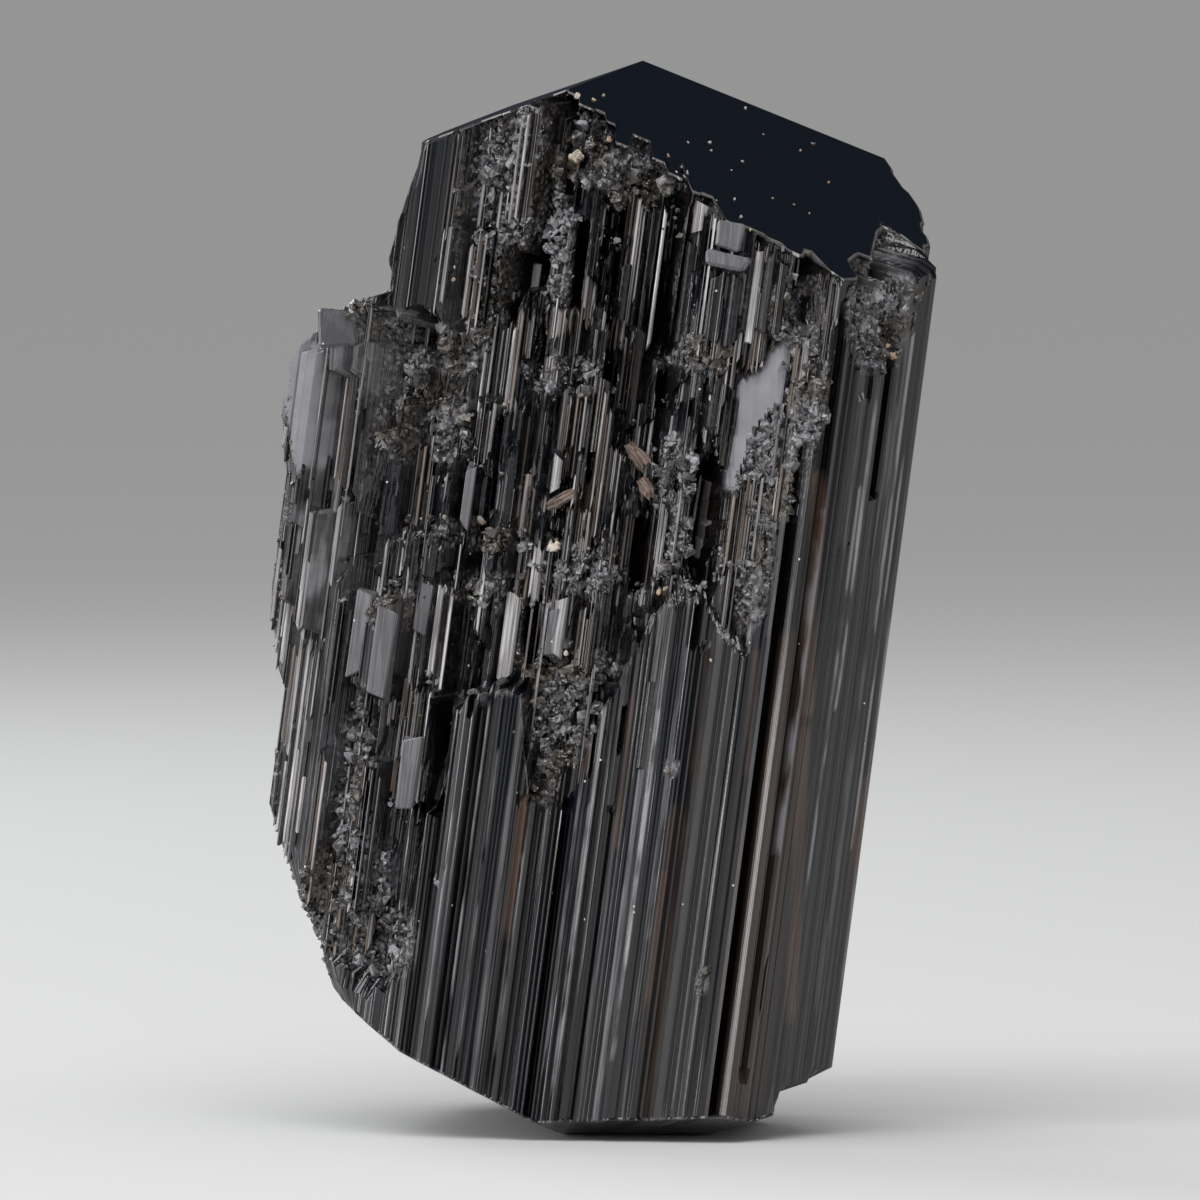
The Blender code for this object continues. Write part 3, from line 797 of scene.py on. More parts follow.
# Broken columns: they stand side by side in bundles, and each storey of them ends at a ragged ledge.
columns = dict(
    seed=4,
    topLedge=((300, 20), (900, 20)),
    # the ragged ledges where the storeys end, from left to right in pixels
    ledges=(
        ((385, 225), (470, 235), (540, 215), (600, 200), (700, 188), (760, 232), (820, 270)),
        ((385, 300), (430, 310), (480, 322), (540, 300), (590, 320), (640, 348), (760, 352), (810, 345)),
        ((330, 395), (400, 385), (450, 395), (500, 400), (560, 385), (640, 400), (720, 410), (800, 400)),
        ((300, 470), (360, 455), (420, 440), (480, 455), (520, 480), (600, 500), (650, 490), (790, 460)),
        ((300, 540), (380, 520), (440, 530), (500, 525), (560, 540), (620, 580), (720, 560), (790, 520)),
        ((300, 600), (360, 590), (420, 570), (500, 590), (560, 600), (620, 590), (700, 620), (790, 600)),
        ((300, 680), (360, 680), (420, 665), (480, 690), (530, 690), (570, 655), (640, 665), (760, 680)),
        ((300, 760), (350, 745), (400, 800), (440, 800), (530, 760), (620, 760)),
        ((300, 850), (400, 860), (480, 900)),
        ((320, 940), (400, 950), (480, 1000)),
        ((330, 1000), (400, 1015), (480, 1060)),
    ),
    wave=0.35,
    span=(-14.6, 12.8),  # u where the bundles begin and end
    bundle=(0.4, 1.4),
    width=(0.06, 0.2),
    thickness=(0.22, 0.42),
    # of a bundle's front, from the solid's surface, in the layer behind and the one before it
    layers=((-1.0, -0.35), (-0.6, 0.14)),
    uneven=0.1,  # and of one column from its bundle's
    aboveLedge=(-0.5, 0.3),  # of a column's top
    belowLedge=(-0.5, 0.5),
    apart=0.9,  # from one column to the next, as a share of its width
    missing=(0.05, 0.22),
    longer=0.3,  # share of storeys that hang lower, and by how much
    longerBy=(1.0, 2.4),
    plateTurn=-6.5,  # degrees
    turn=22.5,  # degrees either way
    slant=0.5,
    rooted=1.3,
    shortest=0.4,
    belowTip=0.55,
    overhang=1.0,
    feltAt=(0.15, 0.5, 0.85),  # shares of a column's height where the solid behind it is felt
    atEnd=0.1,
    leastDeep=0.7,  # share of its width that a column is thick at least
    openBelow=0.3,  # of a slot's depth, where columns still stand
    crowded=(0.2, 1.9),  # in overgrown patches only some of the columns show
    step=0.3,
)

# Long columns down the left flank, from its left edge to the etched part.
flank = dict(
    seed=15,
    span=(-17.0, -13.2),
    ledges=(345, 478, 566, 640, 742, 850),  # in pixels, down the flank
    middle=305,
    width=(0.07, 0.32),
    proud=(0.02, 0.22),
    uneven=0.05,
    wave=0.8,
    missing=0.12,
    apart=0.85,
)

# Single columns that stand out: left, top, right and bottom in pixels, and mm proud.
plates = (
    (615, 265, 625, 315, 0.15),
    (690, 178, 707, 230, 0.2),
    (546, 112, 551, 195, 0.1),
    (553, 108, 557, 190, 0.1),
    (550, 590, 563, 648, 0.25),
    (500, 590, 515, 668, 0.3),
    (635, 668, 650, 760, 0.1),
    (472, 456, 488, 518, 0.35),
    (410, 458, 430, 500, 0.3),
    (551, 430, 560, 486, 0.2),
    (590, 376, 605, 446, 0.15),
    (628, 305, 638, 425, 0.15),
    (676, 241, 686, 339, 0.2),
    (714, 384, 721, 530, 0.0),
    (722, 396, 727, 500, 0.05),
    (640, 205, 645, 345, 0.1),
    (651, 208, 655, 345, 0.05),
    (700, 272, 716, 338, 0.1),
    (719, 276, 735, 340, 0.15),
    (744, 248, 752, 340, 0.1),
    (755, 250, 764, 336, 0.05),
    (768, 262, 778, 330, 0.1),
    (573, 600, 580, 652, 0.1),
    (520, 470, 527, 530, 0.1),
    (383, 600, 398, 690, 0.3),
)


def fitColumn(u, low, high):
    # shortens a column until both its ends have the solid close behind them
    depths = [frontDepth(u, low + (high - low) * share) for share in columns["feltAt"]]
    depths = sorted(d for d in depths if d is not None)
    if not depths:
        return None
    depth = depths[len(depths) // 2]
    step, atEnd = columns["step"], columns["atEnd"]

    def standsFree(w):
        behind = frontDepth(u, w)
        return behind is None or behind > depth + columns["overhang"]

    while high - low > columns["shortest"] and (standsFree(high - atEnd) or onPlainFace(u, high)):
        high -= step
    while high - low > columns["shortest"] and (standsFree(low + atEnd) or onPlainFace(u, low)):
        low += step
    hides = onPlainFace(u, np.linspace(low, high, 6)).any()
    if standsFree(high - atEnd) or standsFree(low + atEnd) or hides:
        return None
    return depth, low, high


def oneColumn(random, u, low, high, width, proud, turn):
    fitted = fitColumn(u, low, high)
    if fitted is None:
        return None
    depth, low, high = fitted
    high = min(high, float(tipHeight(u, depth)) - columns["belowTip"])
    if high - low < columns["shortest"]:
        return None
    thick = max(random.uniform(*columns["thickness"]), width * columns["leastDeep"])
    middle = (u, depth - proud + thick * 0.5, (low + high) / 2)
    slant = random.uniform(-columns["slant"], columns["slant"], 2)
    size = (width, thick, high - low)
    return dict(place=middle, size=size, turn=turn, slant=(*slant, 0.0), flute=random.random())


def addBundle(random, found, crumbs, start, width, top, bottom, proud):
    u = start
    while u < start + width:
        wide = random.uniform(*columns["width"])
        high = top + random.uniform(*columns["aboveLedge"])
        low = bottom + random.uniform(*columns["belowLedge"])
        out = proud + random.uniform(-1, 1) * columns["uneven"]
        turn = math.radians(random.uniform(-1, 1) * columns["turn"])
        middle = (high + low) / 2
        open = inEtched(u, middle) > 0.5 and alongLines(allSlots, u, middle) < columns["openBelow"]
        filled = inPixelPatches(drusyPatches, u, middle) > random.uniform(*columns["crowded"])
        if open and not filled:
            column = oneColumn(random, u, low, high, wide, out, turn)
            if column:
                found.append(column)
                crumbs.append((u, low, out))
        u += wide * columns["apart"]


def flankPlaces():
    random = np.random.default_rng(flank["seed"])
    heights = [atPixel(flank["middle"], y)[1] for y in flank["ledges"]]
    found = []
    u, last = flank["span"]
    while u < last:
        width = random.uniform(*flank["width"])
        run = random.uniform(*flank["proud"])
        for top, bottom in zip(heights, heights[1:]):
            high, low = (top, bottom) + random.normal(0.0, flank["wave"], 2)
            turn = math.radians(random.uniform(-1, 1) * columns["turn"])
            out = run + random.uniform(-1, 1) * flank["uneven"]
            if random.random() < flank["missing"]:
                continue
            column = oneColumn(random, u, low, high, width, out, turn)
            if column:
                found.append(column)
        u += width * flank["apart"]
    return found


def columnPlaces():
    random = np.random.default_rng(columns["seed"])
    ledges = []
    for line in (columns["topLedge"], *columns["ledges"]):
        ledges.append(np.array([atPixel(x, y) for x, y in line]).T)
    found = flankPlaces()
    crumbs = []
    for layer, missing in zip(columns["layers"], columns["missing"]):
        u, last = columns["span"]
        while u < last:
            width = random.uniform(*columns["bundle"])
            wave = columns["wave"]
            heights = [np.interp(u, *ledge) + random.normal(0.0, wave) for ledge in ledges]
            for top, bottom in zip(heights, heights[1:]):
                proud = random.uniform(*layer)
                if random.random() < columns["longer"]:
                    bottom -= random.uniform(*columns["longerBy"])
                if random.random() > missing:
                    addBundle(random, found, crumbs, u, width, top, bottom, proud)
            u += width
    for left, top, right, bottom, proud in plates:
        (highU, high), (lowU, low) = atPixel((left + right) / 2, top), atPixel((left + right) / 2, bottom)
        wide = (right - left) * photo["scale"]
        turn = math.radians(columns["plateTurn"])
        column = oneColumn(random, (highU + lowU) / 2, low, high, wide, proud, turn)
        if column:
            found.append(column)
    return found, crumbs


def placesMesh(name, places):
    # one vertex for each place, with what the tree needs to know of it
    mesh = bpy.data.meshes.new(name)
    mesh.from_pydata([p["place"] for p in places], [], [])
    for key in places[0]:
        values = np.array([p[key] for p in places], dtype=float)
        if key == "place":
            continue
        if values.ndim == 1:
            mesh.attributes.new(key, "FLOAT", "POINT").data.foreach_set("value", values)
        else:
            field = mesh.attributes.new(key, "FLOAT_VECTOR", "POINT")
            field.data.foreach_set("vector", values.ravel())
    mesh.transform(toRow)
    return mesh


# The direction, in u and v, in which striae are counted on pieces that stand on the skin.
aroundAxis = (0.8, 0.6)


def storePlaces(maker, geometry):
    # around and along for pieces that stand on the skin, so that its striae run on over them
    axes = toRow.to_3x3()
    position = maker.add("GeometryNodeInputPosition")

    def measure(axis):
        inputs = {0: position, 1: tuple(axis)}
        return maker.add("ShaderNodeVectorMath", dict(operation="DOT_PRODUCT"), inputs, "Value")

    across = (axes.col[0] * aroundAxis[0] + axes.col[1] * aroundAxis[1]) / mm**2
    geometry = storeNumber(maker, geometry, "around", measure(across))
    geometry = storeNumber(maker, geometry, "along", measure(axes.col[2] / mm**2))
    geometry = storeNumber(maker, geometry, "side", 1.0)
    return storeNumber(maker, geometry, "etched", 1.0)


def columnTree(material):
    maker = GeometryMaker("columns", {"Sides": 8, "Rooted": columns["rooted"]})
    position = maker.add("GeometryNodeInputPosition")
    height = maker.split(position, 2)
    behind = maker.split(position, 1).above(0.2, 0.21)
    inputs = {"Vertices": maker.given("Sides"), "Radius": 0.5, "Depth": 1.0}
    base = maker.add("GeometryNodeMeshCylinder", None, inputs)
    upper = height.above(0.0, 0.1) * 2 - 1
    end = maker.vector(maker.split(position, 0) * upper, maker.split(position, 1) * upper, behind)
    base = storeNumber(maker, base, "end", end, "FLOAT_VECTOR")
    size = maker.attribute("size", "FLOAT_VECTOR")
    scaled = maker.add("ShaderNodeVectorMath", dict(operation="SCALE"), {0: size, "Scale": mm})
    upright = maker.vector(0.0, math.radians(crystal["lean"]), 0.0)
    inputs = {"Points": maker.mesh, "Instance": base, "Rotation": upright, "Scale": scaled}
    placed = maker.add("GeometryNodeInstanceOnPoints", None, inputs)
    inputs = {"Instances": placed, "Rotation": maker.vector(0.0, 0.0, maker.attribute("turn"))}
    placed = maker.add("GeometryNodeRotateInstances", None, inputs)
    placed = maker.add("GeometryNodeRealizeInstances", None, {"Geometry": placed})
    end, slant = maker.attribute("end", "FLOAT_VECTOR"), maker.attribute("slant", "FLOAT_VECTOR")
    rise = maker.split(end, 0) * maker.split(slant, 0) + maker.split(end, 1) * maker.split(slant, 1)
    upAxis = toRow.to_3x3().col[2]
    up = maker.add("ShaderNodeVectorMath", dict(operation="SCALE"), {0: tuple(upAxis), "Scale": rise})
    root = maker.vector(0.0, maker.split(end, 2) * maker.given("Rooted") * mm, 0.0)
    offset = maker.add("ShaderNodeVectorMath", dict(operation="ADD"), {0: up, 1: root})
    moved = maker.add("GeometryNodeSetPosition", None, {"Geometry": placed, "Offset": offset})
    maker.finish(storePlaces(maker, moved), material)
    return maker


# Crumbly grains along the ledges and in the overgrown patches.
grains = dict(
    seed=11,
    size=(0.12, 0.45),
    chunk=(0.2, 0.85),  # in the overgrown patches
    perColumn=0.6,
    perSquareMm=15.0,
    scatter=0.3,
    sideScatter=0.18,
    smallness=1.8,  # power that makes small grains the common ones
    stretch=(0.65, 1.25),
    lifted=0.2,  # share of its size that a grain stands out
    behind=(0.0, 0.3),  # a column's front
    chunkProud=(-0.5, -0.12),
    edgeProud=(-0.2, 0.02),
    edgePale=(0.6, 1.0),
    lumpScale=5200.0,
    # pale broken edges, in pixels
    edges=(
        ((627, 590), (640, 577), (660, 571), (683, 578), (700, 577), (712, 560), (717, 535)),
        ((648, 488), (668, 518), (688, 540), (700, 562)),
        ((866, 226), (880, 211), (905, 213), (917, 236), (922, 284)),
        ((866, 226), (872, 262), (880, 300), (884, 362)),
        ((292, 476), (279, 548), (276, 640), (274, 760), (277, 822)),
        ((288, 350), (286, 410), (291, 462)),
        ((312, 318), (330, 306), (366, 312)),
        ((280, 840), (296, 890), (312, 940), (330, 975)),
        ((343, 598), (356, 604), (372, 606)),
        ((731, 488), (741, 455), (746, 433), (758, 418), (775, 398), (781, 358)),
    ),
    edgeStep=0.11,  # mm from one grain to the next along them
    edgeScatter=0.14,
)


def oneGrain(random, u, w, proud, sizes, flute=None):
    depth = frontDepth(u, w)
    least, most = sizes
    if depth is None or w > float(tipHeight(u, depth)) - most * 0.5:
        return None
    size = least + (most - least) * random.random() ** grains["smallness"]
    shape = size * random.uniform(*grains["stretch"], 3)
    turn = random.uniform(0.0, 2 * math.pi, 3)
    place = (u, depth - proud + size * grains["lifted"], w)
    flute = random.random() if flute is None else flute
    return dict(place=place, size=tuple(shape), turn=tuple(turn), flute=flute)


def grainPlaces(crumbs):
    random = np.random.default_rng(grains["seed"])
    found = []
    scatter, edgeScatter = (grains["sideScatter"], grains["scatter"]), grains["edgeScatter"]
    for u, low, proud in crumbs:
        if onPlainFace(u, low):
            continue
        for _ in range(random.poisson(grains["perColumn"])):
            spotU, spotW = (u, low) + random.normal(0, scatter)
            out = proud - random.uniform(*grains["behind"])
            found.append(oneGrain(random, spotU, spotW, out, grains["size"]))
    for x, y, wide, high in drusyPatches:
        (pu, pw), ru, rw = atPixel(x, y), wide * photo["scale"], high * photo["scale"]
        for _ in range(int(math.pi * ru * rw * grains["perSquareMm"])):
            far, turn = math.sqrt(random.random()), random.uniform(0, 2 * math.pi)
            spotU, spotW = pu + ru * far * math.cos(turn), pw + rw * far * math.sin(turn)
            if alongLines(allSlots, spotU, spotW) > columns["openBelow"] or onPlainFace(spotU, spotW):
                continue
            out = random.uniform(*grains["chunkProud"])
            found.append(oneGrain(random, spotU, spotW, out, grains["chunk"]))
    for line in grains["edges"]:
        corners = [np.array(atPixel(x, y)) for x, y in line]
        for start, stop in zip(corners, corners[1:]):
            for share in np.arange(0.0, 1.0, grains["edgeStep"] / np.hypot(*(stop - start))):
                spotU, spotW = start + (stop - start) * share + random.normal(0, edgeScatter, 2)
                out, flute = random.uniform(*grains["edgeProud"]), random.uniform(*grains["edgePale"])
                found.append(oneGrain(random, spotU, spotW, out, grains["size"], flute))
    return [grain for grain in found if grain]


def grainTree(material):
    maker = GeometryMaker("grains", {"Roughness": 0.5})
    base = maker.add("GeometryNodeMeshIcoSphere", None, {"Radius": 0.5, "Subdivisions": 1}, 0)
    size = maker.attribute("size", "FLOAT_VECTOR")
    scaled = maker.add("ShaderNodeVectorMath", dict(operation="SCALE"), {0: size, "Scale": mm})
    turn = maker.attribute("turn", "FLOAT_VECTOR")
    inputs = {"Points": maker.mesh, "Instance": base, "Rotation": turn, "Scale": scaled}
    placed = maker.add("GeometryNodeInstanceOnPoints", None, inputs)
    placed = maker.add("GeometryNodeRealizeInstances", None, {"Geometry": placed})
    position = maker.add("GeometryNodeInputPosition")
    noise = maker.noise(position, grains["lumpScale"], 0.0)
    colour = maker.output(noise, "Color")
    settings = dict(operation="SUBTRACT")
    spread = maker.add("ShaderNodeVectorMath", settings, {0: colour, 1: (0.5, 0.5, 0.5)})
    strength = maker.split(size) * maker.given("Roughness") * mm * 2
    inputs = {0: spread, "Scale": strength}
    offset = maker.add("ShaderNodeVectorMath", dict(operation="SCALE"), inputs)
    moved = maker.add("GeometryNodeSetPosition", None, {"Geometry": placed, "Offset": offset})
    moved = storeNumber(maker, storePlaces(maker, moved), "drusy", 1.0)
    maker.finish(moved, material)
    return maker


# Satin tablets that stand before the columns: left, top, right and bottom in pixels, mm proud,
# degrees of lean, and chance number of their finish.
tablets = (
    (713, 219, 738, 247, 0.3, 0, 0.805),
    (701, 251, 742, 267, 0.4, 4, 0.805),
    (318, 308, 358, 346, 0.1, -6, 0.3),
    (341, 446, 362, 498, 0.5, 24, 0.805),
    (417, 576, 430, 626, 0.15, 0, 0.805),
    (352, 590, 370, 668, 0.15, 0, 0.805),
    (374, 600, 394, 690, 0.2, 1, 0.805),
    (399, 730, 420, 795, 0.2, 0, 0.805),
    (546, 600, 556, 650, 0.2, 0, 0.805),
    (463, 462, 472, 520, 0.2, 0, 0.805),
    (530, 260, 538, 300, 0.2, 0, 0.805),
)
tablet = dict(deep=1.5, knocked=0.11, bevel=0.08, turn=-6, satin=0.4, seed=33)


def tabletMesh():
    random = np.random.default_rng(tablet["seed"])
    builder = bmesh.new()
    names = ("around", "along", "side", "etched", "flute", "satin")
    fields = [builder.verts.layers.float.new(name) for name in names]
    axes = np.array(toRow.to_3x3()) / mm**2
    for left, top, right, bottom, proud, lean, shine in tablets:
        (u, w), wide = atPixel((left + right) / 2, (top + bottom) / 2), right - left
        depth = frontDepth(u, w)
        size = Vector((wide * photo["scale"], tablet["deep"], (bottom - top) * photo["scale"]))
        block = bmesh.ops.create_cube(builder, size=1.0)["verts"]
        turn = Matrix.Rotation(math.radians(lean), 4, "Y")
        turn = turn @ Matrix.Rotation(math.radians(tablet["turn"]), 4, "Z")
        place = toRow @ Matrix.Translation((u, depth - proud + tablet["deep"] / 2, w)) @ turn
        for vertex in block:
            knock = Vector(random.uniform(-1, 1, 3)) * tablet["knocked"]
            vertex.co = Vector(a * b for a, b in zip(vertex.co + knock, size))
        edges = list({edge for vertex in block for edge in vertex.link_edges})
        width = size.x * tablet["bevel"]
        rounded = bmesh.ops.bevel(builder, geom=edges, offset=width, segments=1, affect="EDGES")
        for vertex in {v for face in rounded["faces"] for v in face.verts}:
            vertex.co = place @ vertex.co
            around = vertex.co @ Vector(axes @ np.array((*aroundAxis, 0.0)))
            along = vertex.co @ Vector(axes[:, 2])
            for field, value in zip(fields, (around, along, 1.0, 1.0, shine, tablet["satin"])):
                vertex[field] = value
    mesh = bpy.data.meshes.new("satin_tablets")
    builder.to_mesh(mesh)
    builder.free()
    return mesh


# Finishes.
tourmalineLook = dict(
    black=(0.0016, 0.0016, 0.002, 1.0),
    blue=(0.0018, 0.0032, 0.0064, 1.0),
    brownBlack=(0.007, 0.0046, 0.0034, 1.0),
    warmStreak=(0.10, 0.062, 0.043, 1.0),
    # silver: painted highlight, put on flutes where the black crystal would mirror a lamp
    paintedSilver=(0.26, 0.252, 0.272, 1.0),
    # painted highlight: near white glints on broken columns in the etched part
    paintedGlintWhite=(0.58, 0.555, 0.555, 1.0),
    tan=(0.22, 0.175, 0.145, 1.0),
    umber=(0.075, 0.058, 0.046, 1.0),
    crumbDark=(0.007, 0.0065, 0.0065, 1.0),
    crumbPale=(0.27, 0.262, 0.28, 1.0),
    crumbWarm=(0.11, 0.094, 0.078, 1.0),
    # worn grey, and on the base also a painted reflection of the floor
    wornAndReflectedGrey=(0.21, 0.204, 0.222, 1.0),
    # satin: pale grey, partly the etched finish and partly a painted sheen
    satin=(0.20, 0.195, 0.215, 1.0),
    # rim: painted highlight along the edge of the point
    rim=(0.17, 0.155, 0.14, 1.0),
    dust=(0.62, 0.6, 0.56, 1.0),
    # painted shadow inside the slots and hollows
    hollow=(0.002, 0.002, 0.002, 1.0),
    gloss=0.075,
    ior=1.64,
    bump=0.00004,  # metres
    # chance numbers of the flutes that get the painted silver highlight, that get a painted near white
    # glint in the etched part, and that are brown
    satinAndPaintedSilver=(0.62, 0.67, 0.80, 0.82),
    paintedGlintChance=(0.46, 0.5, 0.78, 0.8),
    browned=(0.86, 0.9),
    # cells to a metre in the textures
    warmScale=330.0,
    cloudScale=900.0,
    dustScale=1100.0,
    crumbScale=1500.0,
    pitScale=2600.0,
    chipScale=4600.0,
    dustSize=(0.05, 0.085),  # as a share of a cell
    dustChance=(0.88, 0.89),
)


def tourmalineMaterial():
    maker = MaterialMaker("tourmaline")
    look = tourmalineLook
    around, along = maker.attribute("around"), maker.attribute("along")
    side, wornAndReflection = maker.attribute("side"), maker.attribute("wornAndReflection")
    drusy, etch = maker.attribute("drusy"), maker.attribute("etched")
    satin, slot = maker.attribute("satin"), maker.attribute("slot")
    place = maker.place()

    lean = math.radians(crystal["lean"])
    x, y, z = (maker.split(place, axis) / mm for axis in range(3))
    across = x * math.cos(lean) - z * math.sin(lean)

    def stria(scale):
        return maker.voronoi(maker.vector(across, y), scale)

    def bands(scale, stretch, seed, low, high, detail=2.0):
        field = maker.noise(maker.vector(around + seed, along * stretch), scale, detail)
        return field.above(low, high)

    blue = 1 - (1 - bands(1.1, 0.02, 0.0, 0.42, 0.58)) * side
    colour = maker.mixColour(blue, look["black"], look["blue"])
    warm = bands(0.8, 0.05, 3.0, 0.45, 0.62) * (0.45 + etch * 0.5) * side
    colour = maker.mixColour(warm.clamp(), colour, look["brownBlack"])
    flute = maker.attribute("flute")

    def fluteBetween(name):
        low, lowEnd, high, highEnd = look[name]
        return flute.above(low, lowEnd) * flute.below(high, highEnd)

    satinAndPaintedSilver, browned = fluteBetween("satinAndPaintedSilver"), flute.above(*look["browned"])
    thread = 0.45 + bands(6.0, 0.012, 27.0, 0.35, 0.65) * 0.55
    hair = 0.25 + bands(14.0, 0.015, 41.0, 0.44, 0.56) * 0.75
    # the shaded bands hold back the painted silver highlight and the brown
    plain = 1 - maker.attribute("shade")
    # painted highlight: chosen flutes are painted silver in streaks, standing in for the lamps'
    # reflections
    paintedSilverBands = satinAndPaintedSilver * side * thread * hair * (0.35 + etch * 0.25) * plain
    colour = maker.mixColour(paintedSilverBands.clamp(), colour, look["paintedSilver"])
    brown = browned * side * thread * hair * (0.45 + etch * 0.55) * plain
    colour = maker.mixColour(brown, colour, look["umber"])
    # painted highlight: a few flutes in the etched part are painted near white in streaks, as glints
    paintedGlints = fluteBetween("paintedGlintChance") * etch * thread * (0.35 + hair * 0.65)
    colour = maker.mixColour(paintedGlints.clamp(), colour, look["paintedGlintWhite"])
    colour = maker.mixColour(browned * etch * thread * (0.4 + hair * 0.6), colour, look["tan"])
    # warm brown streaks along the striae
    colour = maker.mixColour(maker.attribute("warmStreak") * thread, colour, look["warmStreak"])
    wear = maker.noise(maker.vector(around * 1.6, along * 0.25), 1.0, 4.0, 0.6).above(0.35, 0.65)
    # worn grey in streaks on the left flank; on the base it also stands in as a painted reflection of the
    # pale floor
    colour = maker.mixColour(wear * wornAndReflection * hair * thread, colour, look["wornAndReflectedGrey"])
    # painted highlight: thin silver threads painted along chosen flutes, as lines of reflected light
    shine = maker.attribute("paintedGleam") * bands(2.0, 0.12, 51.0, 0.35, 0.6)
    colour = maker.mixColour(shine, colour, look["paintedSilver"])
    crumb = maker.noise(place, look["crumbScale"], 3.0, 0.65)
    warmer = maker.noise(place, look["warmScale"], 2.0).above(0.45, 0.6)
    pale = maker.mixColour(warmer, look["crumbPale"], look["crumbWarm"])
    facets = maker.voronoi(place, look["chipScale"], "3D")
    # painted highlight: a few facet cells of the grains are painted near white as sparkle, mixed with
    # their own pale and dark tones
    paintedSparkle = maker.split(maker.output(facets, "Color"))
    paleAndSparkle = crumb.above(0.42, 0.6) * 0.2 + paintedSparkle ** 4.0 * 1.1 + flute.above(0.6, 0.95) * 0.6
    pale = maker.mixColour(paleAndSparkle, look["crumbDark"], pale)
    colour = maker.mixColour((drusy * 0.9 + etch * 0.08).clamp(), colour, pale)
    cloud = maker.noise(place, look["cloudScale"], 3.0).above(0.2, 0.8)
    # satin faces and tablets: painted pale grey, partly their etched finish and partly a painted sheen of
    # the lamps
    colour = maker.mixColour(satin * (0.7 + cloud * 0.3), colour, look["satin"])
    # painted shadow: the slots and hollows are painted near black, as the shade inside them
    colour = maker.mixColour(slot.above(0.25, 0.7) * side, colour, look["hollow"])
    # painted highlight: the row along the point's rim is painted pale grey-brown, for the thin bright
    # line its bevel catches
    colour = maker.mixColour(maker.attribute("rim") * (0.3 + cloud * 0.7), colour, look["rim"])
    specks = maker.voronoi(place, look["dustScale"], "3D")
    chance = maker.split(maker.output(specks, "Color")).above(*look["dustChance"])
    dust = specks.below(*look["dustSize"]) * chance
    colour = maker.mixColour(dust, colour, look["dust"])
    rough = satin * 0.3 + drusy * 0.08 + wornAndReflection * 0.16 + dust * 0.5 + (satinAndPaintedSilver + browned) * side * 0.2
    roughness = rough + look["gloss"] + bands(1.7, 0.03, 11.0, 0.3, 0.7, 0.0) * side * 0.06
    lines = stria(4.5) + stria(10.0) * 0.5
    shown = (bands(0.8, 0.04, 15.0, 0.45, 0.6, 0.0) * 0.5 + etch * 0.6 + wornAndReflection * 0.8 + 0.08).clamp()
    pits = maker.noise(place, look["pitScale"], 1.0)
    height = lines * shown * side * (1 - satin * 0.7) + pits * (0.04 + satin * 0.3)
    normal = maker.bump(height + facets * drusy * 1.5, look["bump"], 0.8)
    maker.feed(Base_Color=colour, Roughness=roughness.clamp(), Normal=normal, IOR=look["ior"])
    return maker.material


micaLook = dict(
    dark=(0.035, 0.021, 0.015, 1.0),
    light=(0.32, 0.235, 0.19, 1.0),
    gloss=0.3,
    cloudScale=1800.0,
    bump=0.00006,
)


def micaMaterial():
    maker = MaterialMaker("mica")
    look = micaLook
    place = maker.place()
    leaves = maker.attribute("leaf")
    cloud = maker.noise(place, look["cloudScale"], 4.0, 0.6)
    streak = maker.noise(maker.vector(leaves * 7.0, maker.attribute("across") * 3.0, cloud), 1.5, 3.0)
    tone = streak.above(0.35, 0.65) * 0.6 + cloud.above(0.35, 0.65) * 0.15 + leaves * 0.25
    colour = maker.mixColour(tone, look["dark"], look["light"])
    roughness = look["gloss"] + cloud * 0.25
    normal = maker.bump(cloud, look["bump"], 0.6)
    maker.feed(Base_Color=colour, Roughness=roughness.clamp(), Normal=normal)
    return maker.material


feldsparLook = dict(
    cream=(0.56, 0.48, 0.37, 1.0),
    tan=(0.36, 0.24, 0.15, 1.0),
    grey=(0.46, 0.43, 0.40, 1.0),
    cloudScale=1500.0,
    stainScale=600.0,
    pitScale=3000.0,
    bump=0.00008,
)


def feldsparMaterial():
    maker = MaterialMaker("feldspar")
    look = feldsparLook
    place = maker.place()
    cloud = maker.noise(place, look["cloudScale"], 4.0, 0.6)
    tanned = maker.noise(place, look["stainScale"], 3.0).above(0.45, 0.65)
    colour = maker.mixColour(cloud.above(0.35, 0.65), look["cream"], look["grey"])
    colour = maker.mixColour(tanned, colour, look["tan"])
    normal = maker.bump(maker.noise(place, look["pitScale"], 3.0), look["bump"], 0.8)
    maker.feed(Base_Color=colour, Roughness=0.42 + cloud * 0.2, Normal=normal)
    return maker.material


# Lodged minerals take their place from the solids they stand for.
def solidAxes(node):
    # middle, unit axes from the longest to the thinnest, and half lengths, in metres
    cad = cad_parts[node].data
    points = np.empty(len(cad.vertices) * 3)
    cad.vertices.foreach_get("co", points)
    points = points.reshape(-1, 3)
    low, high = points.min(axis=0), points.max(axis=0)
    middle = (low + high) / 2
    _, _, axes = np.linalg.svd(points - points.mean(axis=0), full_matrices=False)
    if np.linalg.det(axes) < 0:
        axes[2] = -axes[2]
    spread = (points - middle) @ axes.T
    return middle, axes, abs(spread).max(axis=0)


mica = dict(
    leaves=11,
    steps=6,  # corners along each side of a leaf
    ragged=0.55,
    tapered=0.45,
    splintered=0.75,  # how far the ends are broken back
    terrace=0.5,
    fan=5.0,  # degrees between the outer leaves
    gap=0.15,  # share of a leaf's room that stays open
    uneven=2,  # degrees between one leaf and the next
    seed=40,
)


